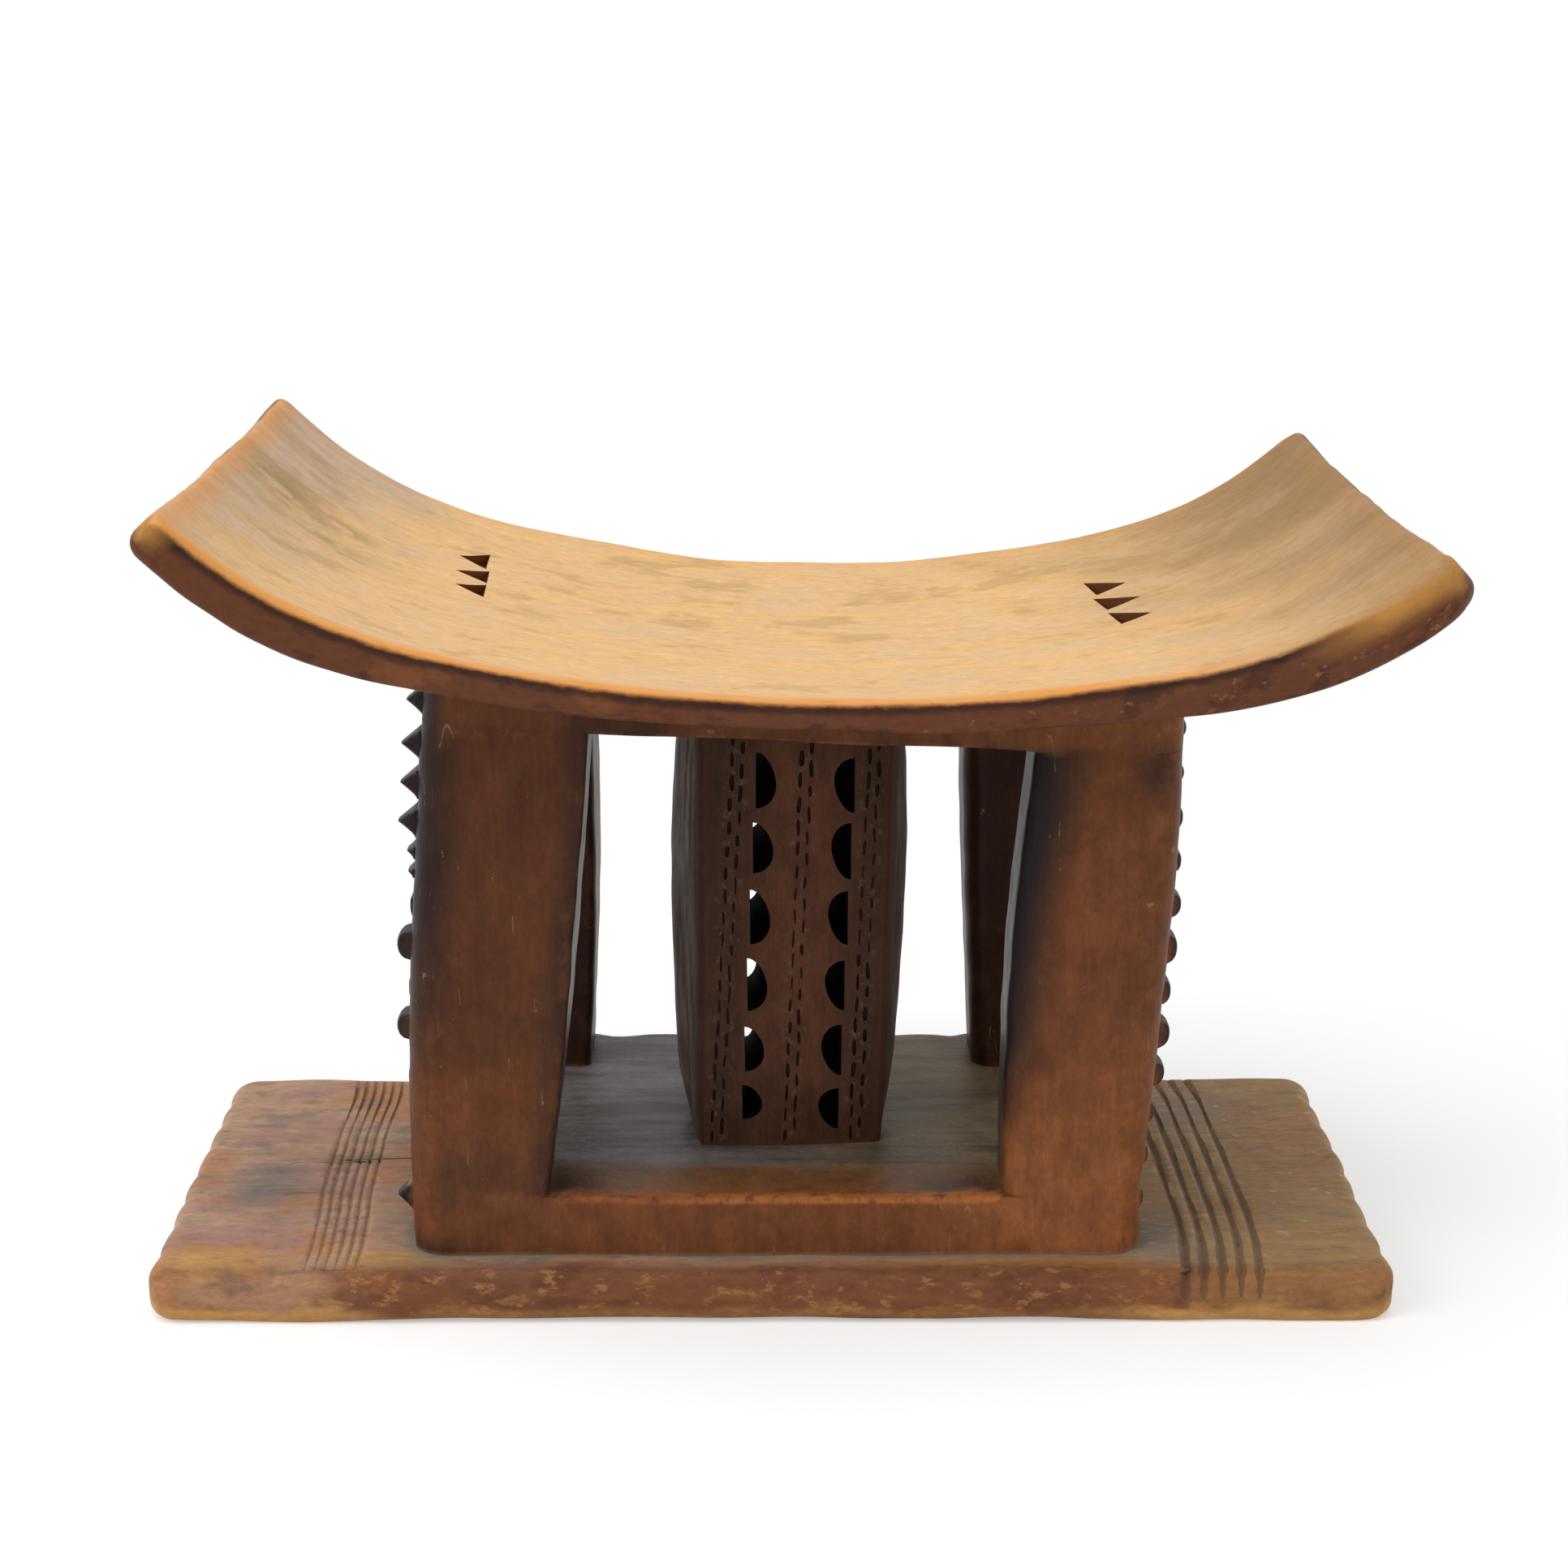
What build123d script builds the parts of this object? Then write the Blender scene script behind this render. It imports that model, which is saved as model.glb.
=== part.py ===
from build123d import *

import math
import os

# Carved wooden stool of the Asante kind. A curved seat stands on a block that is cut away to four
# corner legs and a pierced centre column, over a plinth and a base board. The real stool is one log,
# so its members meet on full faces with no joint between them. Millimetres and degrees. X runs along
# the stool to the right, Y to the back, Z up, from the centre of the base board's underside.

# Base board
base_length = 540.0
base_depth = 230.0
base_thickness = 21.7
base_corner_radius = 9.0
base_edge_radius = 6.0
base_foot_radius = 3.0  # edge that it stands on
end_notch_count = 7  # worn notches down each end of the board
end_notch_pitch = 28.0
end_notch_radius = 7.0
end_notch_depth = 1.6

# Incised lines across the base board, front to back, each set given where it meets the two edges
left_line_count = 6
left_line_pitch = 4.4
left_line_width = 1.6
left_line_depth = 1.0
left_lines_front_x = -189.5
left_lines_back_x = -196.0
right_line_count = 5
right_line_pitch = 8.0
right_line_width = 2.6
right_line_depth = 1.6
right_lines_front_x = 194.5
right_lines_back_x = 193.0

# Outside of the support, which the plinth, the legs and the block under the seat share
support_length = 318.5  # between the outer faces, at the foot
support_depth = 196.0
support_x = 2.75
support_y = 4.75
support_swell = 2.6  # how far each outer face swells at half height
support_lean_front = 11.0  # sideways lean of the front at the top of the legs
support_lean_back = 2.3
support_corner_radius = 15.0
plinth_height = 27.6
leg_height = 204.2

# Legs, each with its own width at the foot, at half height and at the top
leg_depth = 45.0
front_left_foot_width = 60.0
front_left_middle_width = 69.0
front_left_top_width = 70.0
front_right_foot_width = 61.5
front_right_middle_width = 68.0
front_right_top_width = 61.5
back_left_foot_width = 69.5
back_left_middle_width = 74.5
back_left_top_width = 70.0
back_right_foot_width = 64.7
back_right_middle_width = 73.6
back_right_top_width = 74.8
left_leg_inner_radius = 4.0
right_leg_inner_radius = 10.0
leg_window_radius = 4.0  # edge between the outer face and the window in the stool's side

# Rows of teeth down the outer sides of the legs, from the plinth up to the block under the seat
left_tooth_count = 13
left_tooth_pitch = 18.65
left_tooth_below_plinth_top = 6.5  # the lowest tooth's middle
left_knob_count = 9  # rounded knobs from the bottom up; the teeth above them are pointed
right_tooth_count = 12  # rounded knobs, all of them
right_tooth_pitch = 19.55
right_tooth_below_plinth_top = 9.5
tooth_width = 16.0
point_height = 11.5
point_tip = 1.6
point_proud = 7.5
point_root = 2.5  # how deep a pointed tooth starts inside the leg
knob_radius = 5.8
knob_end_radius = 4.5
knob_proud = 5.4

# Centre column
column_x = 6.5
column_y = 3.0
column_lean = 2.8  # how far its top stands to the right of its foot
column_turn = 4.0
column_depth = 78.0
column_face_foot = 80.0  # width of its flat front and back faces
column_face_top = 85.0
column_width_foot = 86.0  # across its bellied sides
column_width_low = 95.5
column_low_rise = 20.0
column_width_shoulder = 102.5
column_shoulder_rise = 62.0
column_width_high = 106.0
column_high_rise = 135.0
column_width_top = 98.0
channel_rows = 6
channel_pitch = 30.2
channel_first = 19.7  # lowest pair of channels above the plinth
channel_pair_drop = 2.6  # how much lower the right channel of a pair sits
channel_height = 22.0
channel_width = 9.3
channel_outer = 21.6  # flat side of a channel, from the middle of the pattern
channel_fall = 6.0  # slope of the channels, down towards the back
pattern_offset = -1.15  # middle of the pattern from the column's own middle, at the foot
pattern_lean = 2.4

# Seat: a gentle arc in the middle that turns into a tighter one at each end
seat_length = 494.6  # chord between the top corners
seat_depth = 320.0  # at the ends
seat_waist = 20.0  # how far each long edge is drawn in at the middle
seat_middle_radius = 660.0
seat_middle_half = 150.0  # half the length of the gentle arc
seat_end_radius = 205.0
seat_dish = 6.0  # hollow across the depth
seat_thick_middle = 12.0
seat_thick_left_turn = 15.5  # where the gentle arc meets the end arc
seat_thick_left_bend = 18.5  # half way up the end arc
seat_thick_left_end = 18.5
seat_thick_right_turn = 17.5
seat_thick_right_bend = 22.5
seat_thick_right_end = 22.5
seat_x = 9.6
seat_y = -4.0
seat_tilt = 1.95  # left end up
seat_back_fall = 0.15
seat_turn = 0.6
seat_corner_radius = 8.0
seat_edge_radius = 3.5
seat_hollow_steps = 8  # points of the hollow's section from the middle to each end
under_block_height = 17.7  # block under the seat, at the middle
under_block_tilt = 2.4  # its underside, left end up

# Triangular pockets in the seat, a row of them near each end
pocket_count = 3
pocket_base = 22.0
pocket_length = 13.0
pocket_depth = 5.0
pocket_skew = 1.7  # how far each pocket stands to the right of the one behind it
left_pocket_x = -144.2
left_pocket_y = 41.5  # middle of the row
left_pocket_pitch = 27.2
right_pocket_x = 145.0
right_pocket_y = 21.5
right_pocket_pitch = 30.5

# Worked out from the sizes above
plinth_top = base_thickness + plinth_height
slab_bottom = plinth_top + leg_height
seat_z = slab_bottom + under_block_height + seat_thick_middle
support_front = support_y - support_depth / 2
support_back = support_y + support_depth / 2
clear = base_depth  # how far a cutting shape runs past what it cuts
seat_hub = seat_middle_radius - seat_end_radius  # between the centres of the gentle and the end arcs
turn_angle = math.asin(seat_middle_half / seat_middle_radius)
end_angle = math.asin((seat_length / 2 - seat_hub * math.sin(turn_angle)) / seat_end_radius)
past_end_angle = end_angle + seat_thick_right_end / seat_end_radius
seat_end_fall = seat_hub * math.cos(turn_angle) + seat_end_radius * math.cos(end_angle)
block_top = seat_z + seat_middle_radius - seat_end_fall  # level of the seat's end rims
seat_place = Location((seat_x, seat_y, seat_z), (-seat_back_fall, seat_tilt, seat_turn))
slab_plane = Plane(Location((support_x, support_y, slab_bottom), (0, under_block_tilt, 0)))
plinth_plane = Plane((0, 0, plinth_top))
leg_widths = {
    ("front", "left"): (front_left_foot_width, front_left_middle_width, front_left_top_width),
    ("front", "right"): (front_right_foot_width, front_right_middle_width, front_right_top_width),
    ("back", "left"): (back_left_foot_width, back_left_middle_width, back_left_top_width),
    ("back", "right"): (back_right_foot_width, back_right_middle_width, back_right_top_width),
}


def through(foot, middle, top, height):
    """Value at a height, on the curve through its values at the legs' foot, middle and top."""
    t = (height - plinth_top) / leg_height
    return foot * (2 * t - 1) * (t - 1) + middle * 4 * t * (1 - t) + top * t * (2 * t - 1)


def outer_x(side, height, lean_top):
    """X of the support block's outer face; side is -1 on the left and 1 on the right."""
    half = support_length / 2
    reach = through(half, half + support_swell, half, height)
    return support_x + side * reach + lean_top * (height - plinth_top) / leg_height


def outer_arc(side, lean_top):
    heights = (plinth_top, (plinth_top + block_top) / 2, block_top)
    return ThreePointArc(*[(outer_x(side, height, lean_top), height) for height in heights])


def upright_face(y, outline):
    """Face with an outline drawn in X and Z, standing at a depth y and looking forward."""
    return Plane((0, y, 0), x_dir=(1, 0, 0), z_dir=(0, -1, 0)) * make_face(outline)


def support_section(y, lean_top):
    left = outer_arc(-1, lean_top)
    right = outer_arc(1, lean_top)
    outline = [left, Line(left @ 1, right @ 1), right, Line(left @ 0, right @ 0)]
    return upright_face(y, outline)


def upright_edges(shape, height):
    """The edges that climb most of a height."""
    return shape.edges().filter_by(lambda edge: edge.bounding_box().size.Z > 0.8 * height)


def outward_edges(shape, side):
    """A leg's upright edges, from the stool's middle outwards."""
    return upright_edges(shape, leg_height).sort_by(lambda edge: side * edge.center().X)


def pointed_tooth():
    """A tooth with a blunt point that stands out of the plane x = 0 along X, centred on it."""
    root = Plane.YZ.offset(-point_root) * Rectangle(tooth_width, point_height)
    tip = Plane.YZ.offset(point_proud) * Rectangle(tooth_width / 3, point_tip)
    return loft([root.face(), tip.face()], ruled=True)


def knob():
    """A rounded tooth, placed as the pointed one is."""
    barrel = Rot(90, 0, 0) * Cylinder(knob_radius, tooth_width)
    barrel = fillet(barrel.edges().filter_by(GeomType.CIRCLE), knob_end_radius)
    return Pos(knob_proud - knob_radius, 0, 0) * barrel


def tooth_row(side, y, lean_top):
    """The teeth down the outer side of one leg."""
    if side < 0:
        count, pitch, below = left_tooth_count, left_tooth_pitch, left_tooth_below_plinth_top
        knob_count = left_knob_count
    else:
        count, pitch, below = right_tooth_count, right_tooth_pitch, right_tooth_below_plinth_top
        knob_count = right_tooth_count
    teeth = []
    for number in range(count):
        z = plinth_top - below + number * pitch
        x = outer_x(side, max(z, plinth_top), lean_top)
        shape = knob() if number < knob_count else pointed_tooth()
        teeth.append(Pos(x, y, z) * Rot(0, 0, 90 - side * 90) * shape)
    return teeth


def tooth_rows():
    """All the teeth, with one row on the outer side of each leg."""
    teeth = []
    for side in (-1, 1):
        teeth += tooth_row(side, support_front + leg_depth / 2, support_lean_front)
        teeth += tooth_row(side, support_back - leg_depth / 2, support_lean_back)
    return teeth


def plinth(teeth):
    """The plinth with the lowest teeth, or as much of them as lies below its top."""
    foot = Pos(support_x, support_y, base_thickness + plinth_height / 2) * Box(
        support_length, support_depth, plinth_height
    )
    foot = fillet(foot.edges().filter_by(Axis.Z), support_corner_radius)
    low = [tooth for tooth in teeth if tooth.bounding_box().min.Z < plinth_top]
    return foot.fuse(*[split(tooth, bisect_by=plinth_plane, keep=Keep.BOTTOM) for tooth in low])


def support_block(teeth):
    """Legs and the block under the seat in one, before the windows are cut, with their teeth."""
    body = loft(
        [
            support_section(support_front, support_lean_front),
            support_section(support_back, support_lean_back),
        ],
        ruled=True,
    )
    body = fillet(upright_edges(body, block_top - plinth_top), support_corner_radius)
    return body.fuse(*[tooth for tooth in teeth if tooth.bounding_box().max.Z > plinth_top])


def leg(block, end, hand):
    """One leg, cut out of the block, with its inner and back edges rounded."""
    side = -1 if hand == "left" else 1
    if end == "front":
        lean_top = support_lean_front
        y_low, y_high = support_front - clear, support_front + leg_depth
    else:
        lean_top = support_lean_back
        y_low, y_high = support_back - leg_depth, support_back + clear
    widths = leg_widths[end, hand]
    heights = (plinth_top, (plinth_top + block_top) / 2, block_top)
    inner = ThreePointArc(
        *[(outer_x(side, height, lean_top) - side * through(*widths, height), height) for height in heights]
    )
    far = side * (support_length + clear)
    outline = [
        inner,
        Line(inner @ 1, (far, block_top)),
        Line((far, block_top), (far, plinth_top)),
        Line((far, plinth_top), inner @ 0),
    ]
    space = extrude(upright_face(y_low, outline), y_high - y_low, dir=(0, 1, 0))
    piece = split(block & space, bisect_by=slab_plane, keep=Keep.BOTTOM)
    inner_radius = left_leg_inner_radius if side < 0 else right_leg_inner_radius
    piece = fillet(outward_edges(piece, side)[:2], inner_radius)
    return fillet(outward_edges(piece, side)[-1], leg_window_radius)


def seat_point(angle, depth):
    """Point of the seat's long section where the top slopes by an angle, depth below the rim."""
    slope = max(-turn_angle, min(turn_angle, angle))
    reach = seat_end_radius + depth
    x = seat_hub * math.sin(slope) + reach * math.sin(angle)
    return (x, seat_middle_radius - seat_hub * math.cos(slope) - reach * math.cos(angle))


def seat_slope(x):
    """Slope of the seat's long section at a distance x from its middle."""
    if abs(x) <= seat_middle_half:
        return math.asin(x / seat_middle_radius)
    beyond = abs(x) - seat_hub * math.sin(turn_angle)
    return math.copysign(math.asin(beyond / seat_end_radius), x)


def seat_half_depth(x):
    """Half the seat's depth at a distance x from its middle."""
    waist_radius = (seat_length**2 / 4 + seat_waist**2) / (2 * seat_waist)
    return seat_depth / 2 - seat_waist + waist_radius - math.sqrt(waist_radius**2 - x**2)


def seat_underside():
    bend = (turn_angle + end_angle) / 2
    return Spline(
        seat_point(-end_angle, seat_thick_left_end),
        seat_point(-bend, seat_thick_left_bend),
        seat_point(-turn_angle, seat_thick_left_turn),
        seat_point(0, seat_thick_middle),
        seat_point(turn_angle, seat_thick_right_turn),
        seat_point(bend, seat_thick_right_bend),
        seat_point(end_angle, seat_thick_right_end),
    )


def seat_hollow_section(y):
    """Section of the hollow over the seat, at a depth y, from past one end to past the other."""
    points = []
    for step in range(-seat_hollow_steps, seat_hollow_steps + 1):
        angle = past_end_angle * step / seat_hollow_steps
        half_depth = seat_half_depth(seat_point(angle, 0)[0])
        points.append(seat_point(angle, seat_dish * (1 - (y / half_depth) ** 2)))
    floor = Spline(*points)
    left, right = floor @ 0, floor @ 1
    high = 2 * block_top
    outline = [
        floor,
        Line(right, (right.X, high)),
        Line((right.X, high), (left.X, high)),
        Line((left.X, high), left),
    ]
    return upright_face(y, outline)


def seat_pockets():
    """Triangular pockets with their points outwards, cut square to the seat's surface."""
    cutters = []
    for row_x, row_y, pitch in (
        (left_pocket_x, left_pocket_y, left_pocket_pitch),
        (right_pocket_x, right_pocket_y, right_pocket_pitch),
    ):
        outward = math.copysign(1, row_x)
        triangle = Polyline(
            (-outward * pocket_length / 2, -pocket_base / 2),
            (-outward * pocket_length / 2, pocket_base / 2),
            (outward * pocket_length / 2, 0),
            close=True,
        )
        for number in range(pocket_count):
            forward = number - (pocket_count - 1) / 2
            angle = seat_slope(row_x + forward * pocket_skew)
            x, z = seat_point(angle, pocket_depth + seat_dish)
            place = Location((x, row_y - forward * pitch, z), (0, -math.degrees(angle), 0))
            cutters.append(extrude(place * make_face(triangle), 2 * (pocket_depth + seat_dish)))
    return cutters


def seat_blank():
    """The seat's outer shape before it is hollowed, with its four corners rounded."""
    under = seat_underside()
    left_top = seat_point(-end_angle, 0)
    right_top = seat_point(end_angle, 0)
    outline = [under, Line(under @ 1, right_top), Line(right_top, left_top), Line(left_top, under @ 0)]
    slab = extrude(upright_face(-clear, outline), 2 * clear, dir=(0, 1, 0))
    far = seat_length / 2 + 2 * seat_thick_right_end
    front = ThreePointArc(
        (-far, -seat_half_depth(far)), (0, -seat_half_depth(0)), (far, -seat_half_depth(far))
    )
    back = ThreePointArc((far, seat_half_depth(far)), (0, seat_half_depth(0)), (-far, seat_half_depth(far)))
    plan = make_face([front, Line(front @ 1, back @ 0), back, Line(back @ 1, front @ 0)])
    blank = slab & (Pos(0, 0, -block_top) * extrude(plan, 2 * block_top))
    corners = blank.edges().filter_by(
        lambda edge: abs(edge.center().X) > seat_length / 2 and edge.bounding_box().size.Y < seat_dish
    )
    return fillet(corners, seat_corner_radius)


def seat():
    over = seat_half_depth(seat_length / 2) + seat_corner_radius
    hollow = loft([seat_hollow_section(y) for y in (-over, 0, over)])
    piece = seat_blank() - hollow
    top_and_underside = piece.faces().sort_by(SortBy.AREA)[-2:]
    piece = fillet(top_and_underside[0].edges() + top_and_underside[1].edges(), seat_edge_radius)
    for cutter in seat_pockets():
        piece = piece - cutter
    return seat_place * piece


def seat_space():
    """Everything above the seat's underside."""
    under = seat_underside()
    high = 2 * block_top
    left, right = under @ 0, under @ 1
    outline = [
        under,
        Line(right, (right.X, high)),
        Line((right.X, high), (left.X, high)),
        Line((left.X, high), left),
    ]
    return seat_place * extrude(upright_face(-clear, outline), 2 * clear, dir=(0, 1, 0))


def under_block(block):
    return split(block, bisect_by=slab_plane, keep=Keep.TOP) - seat_space()


def column_section(rise, face_width, width):
    """Section of the column at a rise above the plinth: flat front and back, bellied sides."""
    half_face, half_width, half_depth = face_width / 2, width / 2, column_depth / 2
    corners = [
        (half_face, -half_depth),
        (half_face, half_depth),
        (-half_face, half_depth),
        (-half_face, -half_depth),
    ]
    outline = [
        ThreePointArc(corners[0], (half_width, 0), corners[1]),
        Line(corners[1], corners[2]),
        ThreePointArc(corners[2], (-half_width, 0), corners[3]),
        Line(corners[3], corners[0]),
    ]
    return Plane((column_lean * rise / leg_height, 0, plinth_top + rise)) * make_face(outline)


def channel_cutters():
    """D-shaped channels, flat side outwards, in two rows up the column and right through it."""
    cutters = []
    fall = math.radians(channel_fall)
    way = (0, math.cos(fall), -math.sin(fall))
    for row in range(channel_rows):
        for side in (-1, 1):
            rise = channel_first + row * channel_pitch - side * channel_pair_drop / 2
            z = plinth_top + rise + column_depth * math.tan(fall)
            flat_x = pattern_offset + rise * math.tan(math.radians(pattern_lean)) + side * channel_outer
            low = (flat_x, z - channel_height / 2)
            high = (flat_x, z + channel_height / 2)
            round_middle = (flat_x - side * channel_width, z)
            outline = [ThreePointArc(low, round_middle, high), Line(high, low)]
            face = upright_face(-column_depth * 3 / 2, outline)
            cutters.append(extrude(face, 3 * column_depth, dir=way))
    return cutters


def centre_column():
    top_rise = leg_height + support_length * math.tan(math.radians(under_block_tilt))
    widths = (
        (0, column_width_foot),
        (column_low_rise, column_width_low),
        (column_shoulder_rise, column_width_shoulder),
        (column_high_rise, column_width_high),
        (top_rise, column_width_top),
    )
    sections = []
    for rise, width in widths:
        face_width = column_face_foot + (column_face_top - column_face_foot) * rise / leg_height
        sections.append(column_section(rise, face_width, width))
    body = loft(sections)
    for cutter in channel_cutters():
        body = body - cutter
    body = Pos(column_x, column_y, 0) * Rot(0, 0, column_turn) * body
    return split(body, bisect_by=slab_plane, keep=Keep.BOTTOM)


def incised_lines(count, pitch, width, depth, front_x, back_x):
    """V-shaped lines that cross the board's top from its front edge to its back edge."""
    cutters = []
    for number in range(count):
        shift = (number - (count - 1) / 2) * pitch
        vee = Polyline(
            (front_x + shift - width, base_thickness + depth),
            (front_x + shift + width, base_thickness + depth),
            (front_x + shift, base_thickness - depth),
            close=True,
        )
        face = upright_face(-base_depth / 2, vee)
        run = Vector(back_x - front_x, base_depth, 0)
        cutters.append(extrude(face, run.length, dir=run.normalized()))
    return cutters


def base_board():
    board = Pos(0, 0, base_thickness / 2) * Box(base_length, base_depth, base_thickness)
    board = fillet(board.edges().filter_by(Axis.Z), base_corner_radius)
    board = fillet(board.faces().sort_by(Axis.Z)[-1].edges(), base_edge_radius)
    board = fillet(board.faces().sort_by(Axis.Z)[0].edges(), base_foot_radius)
    notch = Pos(0, 0, base_thickness / 2) * Cylinder(end_notch_radius, 2 * base_thickness)
    for side in (-1, 1):
        x = side * (base_length / 2 - end_notch_depth + end_notch_radius)
        for number in range(end_notch_count):
            y = (number - (end_notch_count - 1) / 2) * end_notch_pitch
            board = board - Pos(x, y, 0) * notch
    left = incised_lines(
        left_line_count,
        left_line_pitch,
        left_line_width,
        left_line_depth,
        left_lines_front_x,
        left_lines_back_x,
    )
    right = incised_lines(
        right_line_count,
        right_line_pitch,
        right_line_width,
        right_line_depth,
        right_lines_front_x,
        right_lines_back_x,
    )
    for cutter in left + right:
        board = board - cutter
    return board


teeth = tooth_rows()
block = support_block(teeth)
pieces = {
    "base_board": base_board(),
    "plinth": plinth(teeth),
    "leg_front_left": leg(block, "front", "left"),
    "leg_front_right": leg(block, "front", "right"),
    "leg_back_left": leg(block, "back", "left"),
    "leg_back_right": leg(block, "back", "right"),
    "centre_column": centre_column(),
    "under_block": under_block(block),
    "seat": seat(),
}

os.makedirs("parts", exist_ok=True)
for name, piece in pieces.items():
    export_step(piece, f"parts/{name}.step")
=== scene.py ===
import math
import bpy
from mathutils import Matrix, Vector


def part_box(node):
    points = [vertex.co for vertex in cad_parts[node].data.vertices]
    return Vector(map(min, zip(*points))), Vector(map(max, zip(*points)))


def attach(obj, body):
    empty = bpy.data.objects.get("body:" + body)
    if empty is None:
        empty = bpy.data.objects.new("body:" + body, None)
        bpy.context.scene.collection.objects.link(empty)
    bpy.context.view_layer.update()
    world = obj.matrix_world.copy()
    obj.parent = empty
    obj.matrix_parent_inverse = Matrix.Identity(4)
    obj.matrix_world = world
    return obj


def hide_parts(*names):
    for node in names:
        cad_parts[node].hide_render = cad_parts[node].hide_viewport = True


bl_info = {
    "name": "Asante Stool",
    "version": (1, 0, 0),
    "blender": (4, 5, 0),
    "location": "View3D > Sidebar > Stool",
    "description": "Carves the wooden members of an Asante stool around their frame",
    "category": "Add Mesh",
}

import bpy
import numpy as np
from mathutils import Vector

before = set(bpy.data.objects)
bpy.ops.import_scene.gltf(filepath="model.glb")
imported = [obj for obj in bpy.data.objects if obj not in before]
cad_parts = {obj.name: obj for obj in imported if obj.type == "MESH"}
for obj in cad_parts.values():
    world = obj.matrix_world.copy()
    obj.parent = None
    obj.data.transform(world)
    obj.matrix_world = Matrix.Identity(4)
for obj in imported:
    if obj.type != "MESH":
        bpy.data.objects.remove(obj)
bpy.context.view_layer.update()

# Metres throughout, in the frame's axes: X along the stool to the right, Y to the back, Z up.
MM = 0.001
BODY = "root"

base_low, base_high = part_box("base_board")
plinth_low, plinth_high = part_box("plinth")
leg_front_low, leg_front_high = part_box("leg_front_left")
leg_back_low, leg_back_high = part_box("leg_back_left")

SUPPORT_FRONT = plinth_low.y
SUPPORT_BACK = plinth_high.y
PLINTH_TOP = plinth_high.z
WOOD_OVERLAP = 1.0 * MM  # how far one member reaches into the next


def length(name, description, default):
    return bpy.props.FloatProperty(name=name, description=description, default=default, unit="LENGTH")


def angle(name, description, degrees):
    return bpy.props.FloatProperty(
        name=name, description=description, default=math.radians(degrees), subtype="ANGLE"
    )


def amount(name, description, default):
    return bpy.props.FloatProperty(name=name, description=description, default=default)


def count(name, description, default):
    return bpy.props.IntProperty(name=name, description=description, default=default, min=1)


def seed(default):
    return bpy.props.IntProperty(name="Seed", description="Which of the hand's uneven results", default=default)


def colour(name, description, red, green, blue):
    """A colour setting, from the display's 0 to 255 scale."""
    linear = [((level / 255 + 0.055) / 1.055) ** 2.4 for level in (red, green, blue)]
    return bpy.props.FloatVectorProperty(
        name=name, description=description, default=linear, size=3, subtype="COLOR", min=0, max=1
    )


class BaseSizes(bpy.types.PropertyGroup):
    """The flat board that the stool stands on."""

    corner_radius: length("Corner", "Radius of the corners in plan", 12 * MM)
    edge_radius: length("Top edge", "Radius of the worn top edge", 7 * MM)
    foot_radius: length("Foot edge", "Radius of the edge that it stands on", 3.5 * MM)
    foot_end_radius: length("Foot end", "Radius of that edge at the board's ends", 7 * MM)
    notch_pitch: length("Notch pitch", "Distance between the worn notches in each end", 28 * MM)
    notch_depth: length("Notch depth", "How deep a notch is worn", 1.1 * MM)
    front_radius: length("Front edge", "Radius of the front's worn top edge", 12.5 * MM)
    foot_bow: length("Foot bow", "How far the front's lower edge is worn up in the middle", 1.8 * MM)
    left_lines: count("Left lines", "Lines incised across the left end", 6)
    left_pitch: length("Left pitch", "Distance between the left lines", 4.4 * MM)
    left_width: length("Left width", "Width of a left line", 1.9 * MM)
    left_depth: length("Left depth", "Depth of a left line", 0.9 * MM)
    left_front: length("Left front", "X of the left lines' middle at the front", -189.5 * MM)
    left_back: length("Left back", "X of the left lines' middle at the back", -196 * MM)
    left_bow: length("Left bow", "How far the left lines bow to the right in their middle", -1.8 * MM)
    right_lines: count("Right lines", "Lines incised across the right end", 5)
    right_pitch: length("Right pitch", "Distance between the right lines", 8 * MM)
    right_width: length("Right width", "Width of a right line", 3.3 * MM)
    right_depth: length("Right depth", "Depth of a right line", 1.6 * MM)
    right_front: length("Right front", "X of the right lines' middle at the front", 194.5 * MM)
    right_back: length("Right back", "X of the right lines' middle at the back", 193 * MM)
    right_bow: length("Right bow", "How far the right lines bow to the right in their middle", 4.4 * MM)
    seed: seed(11)


class SupportSizes(bpy.types.PropertyGroup):
    """What the plinth, the legs and the block under the seat share."""

    length: length("Length", "Between the outer faces at the foot", 318.5 * MM)
    centre: length("Centre", "X of the support's middle", 2.75 * MM)
    swell: length("Swell", "How far the outer faces swell at half height", 2.6 * MM)
    lean_front: length("Front lean", "Sideways lean of the front legs at their top", 11 * MM)
    lean_back: length("Back lean", "Sideways lean of the back legs at their top", 2.3 * MM)
    corner_radius: length("Corner", "Radius of the outer corners", 15 * MM)
    leg_height: length("Leg height", "From the plinth to the block under the seat, at the middle", 204.2 * MM)
    leg_depth: length("Leg depth", "From front to back of a leg", 45 * MM)
    left_inner_radius: length("Left inner edge", "Radius of the left legs' inner edges", 4.5 * MM)
    right_inner_radius: length("Right inner edge", "Radius of the right legs' inner edges", 10 * MM)
    window_radius: length("Window edge", "Radius of the edge beside the side window", 4 * MM)
    plinth_edge: length("Plinth edge", "Radius of the plinth's worn top edge", 3 * MM)
    block_edge: length("Block edge", "Radius of the block's lower edges", 1.8 * MM)
    block_tilt: angle("Block tilt", "Slope of the block's underside, left end up", 2.4)
    tooth_width: length("Tooth width", "Width of a tooth, across the leg's outer face", 16 * MM)
    tooth_unevenness: amount("Tooth unevenness", "How much the teeth's sizes differ", 0.06)
    seed: seed(3)


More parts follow.
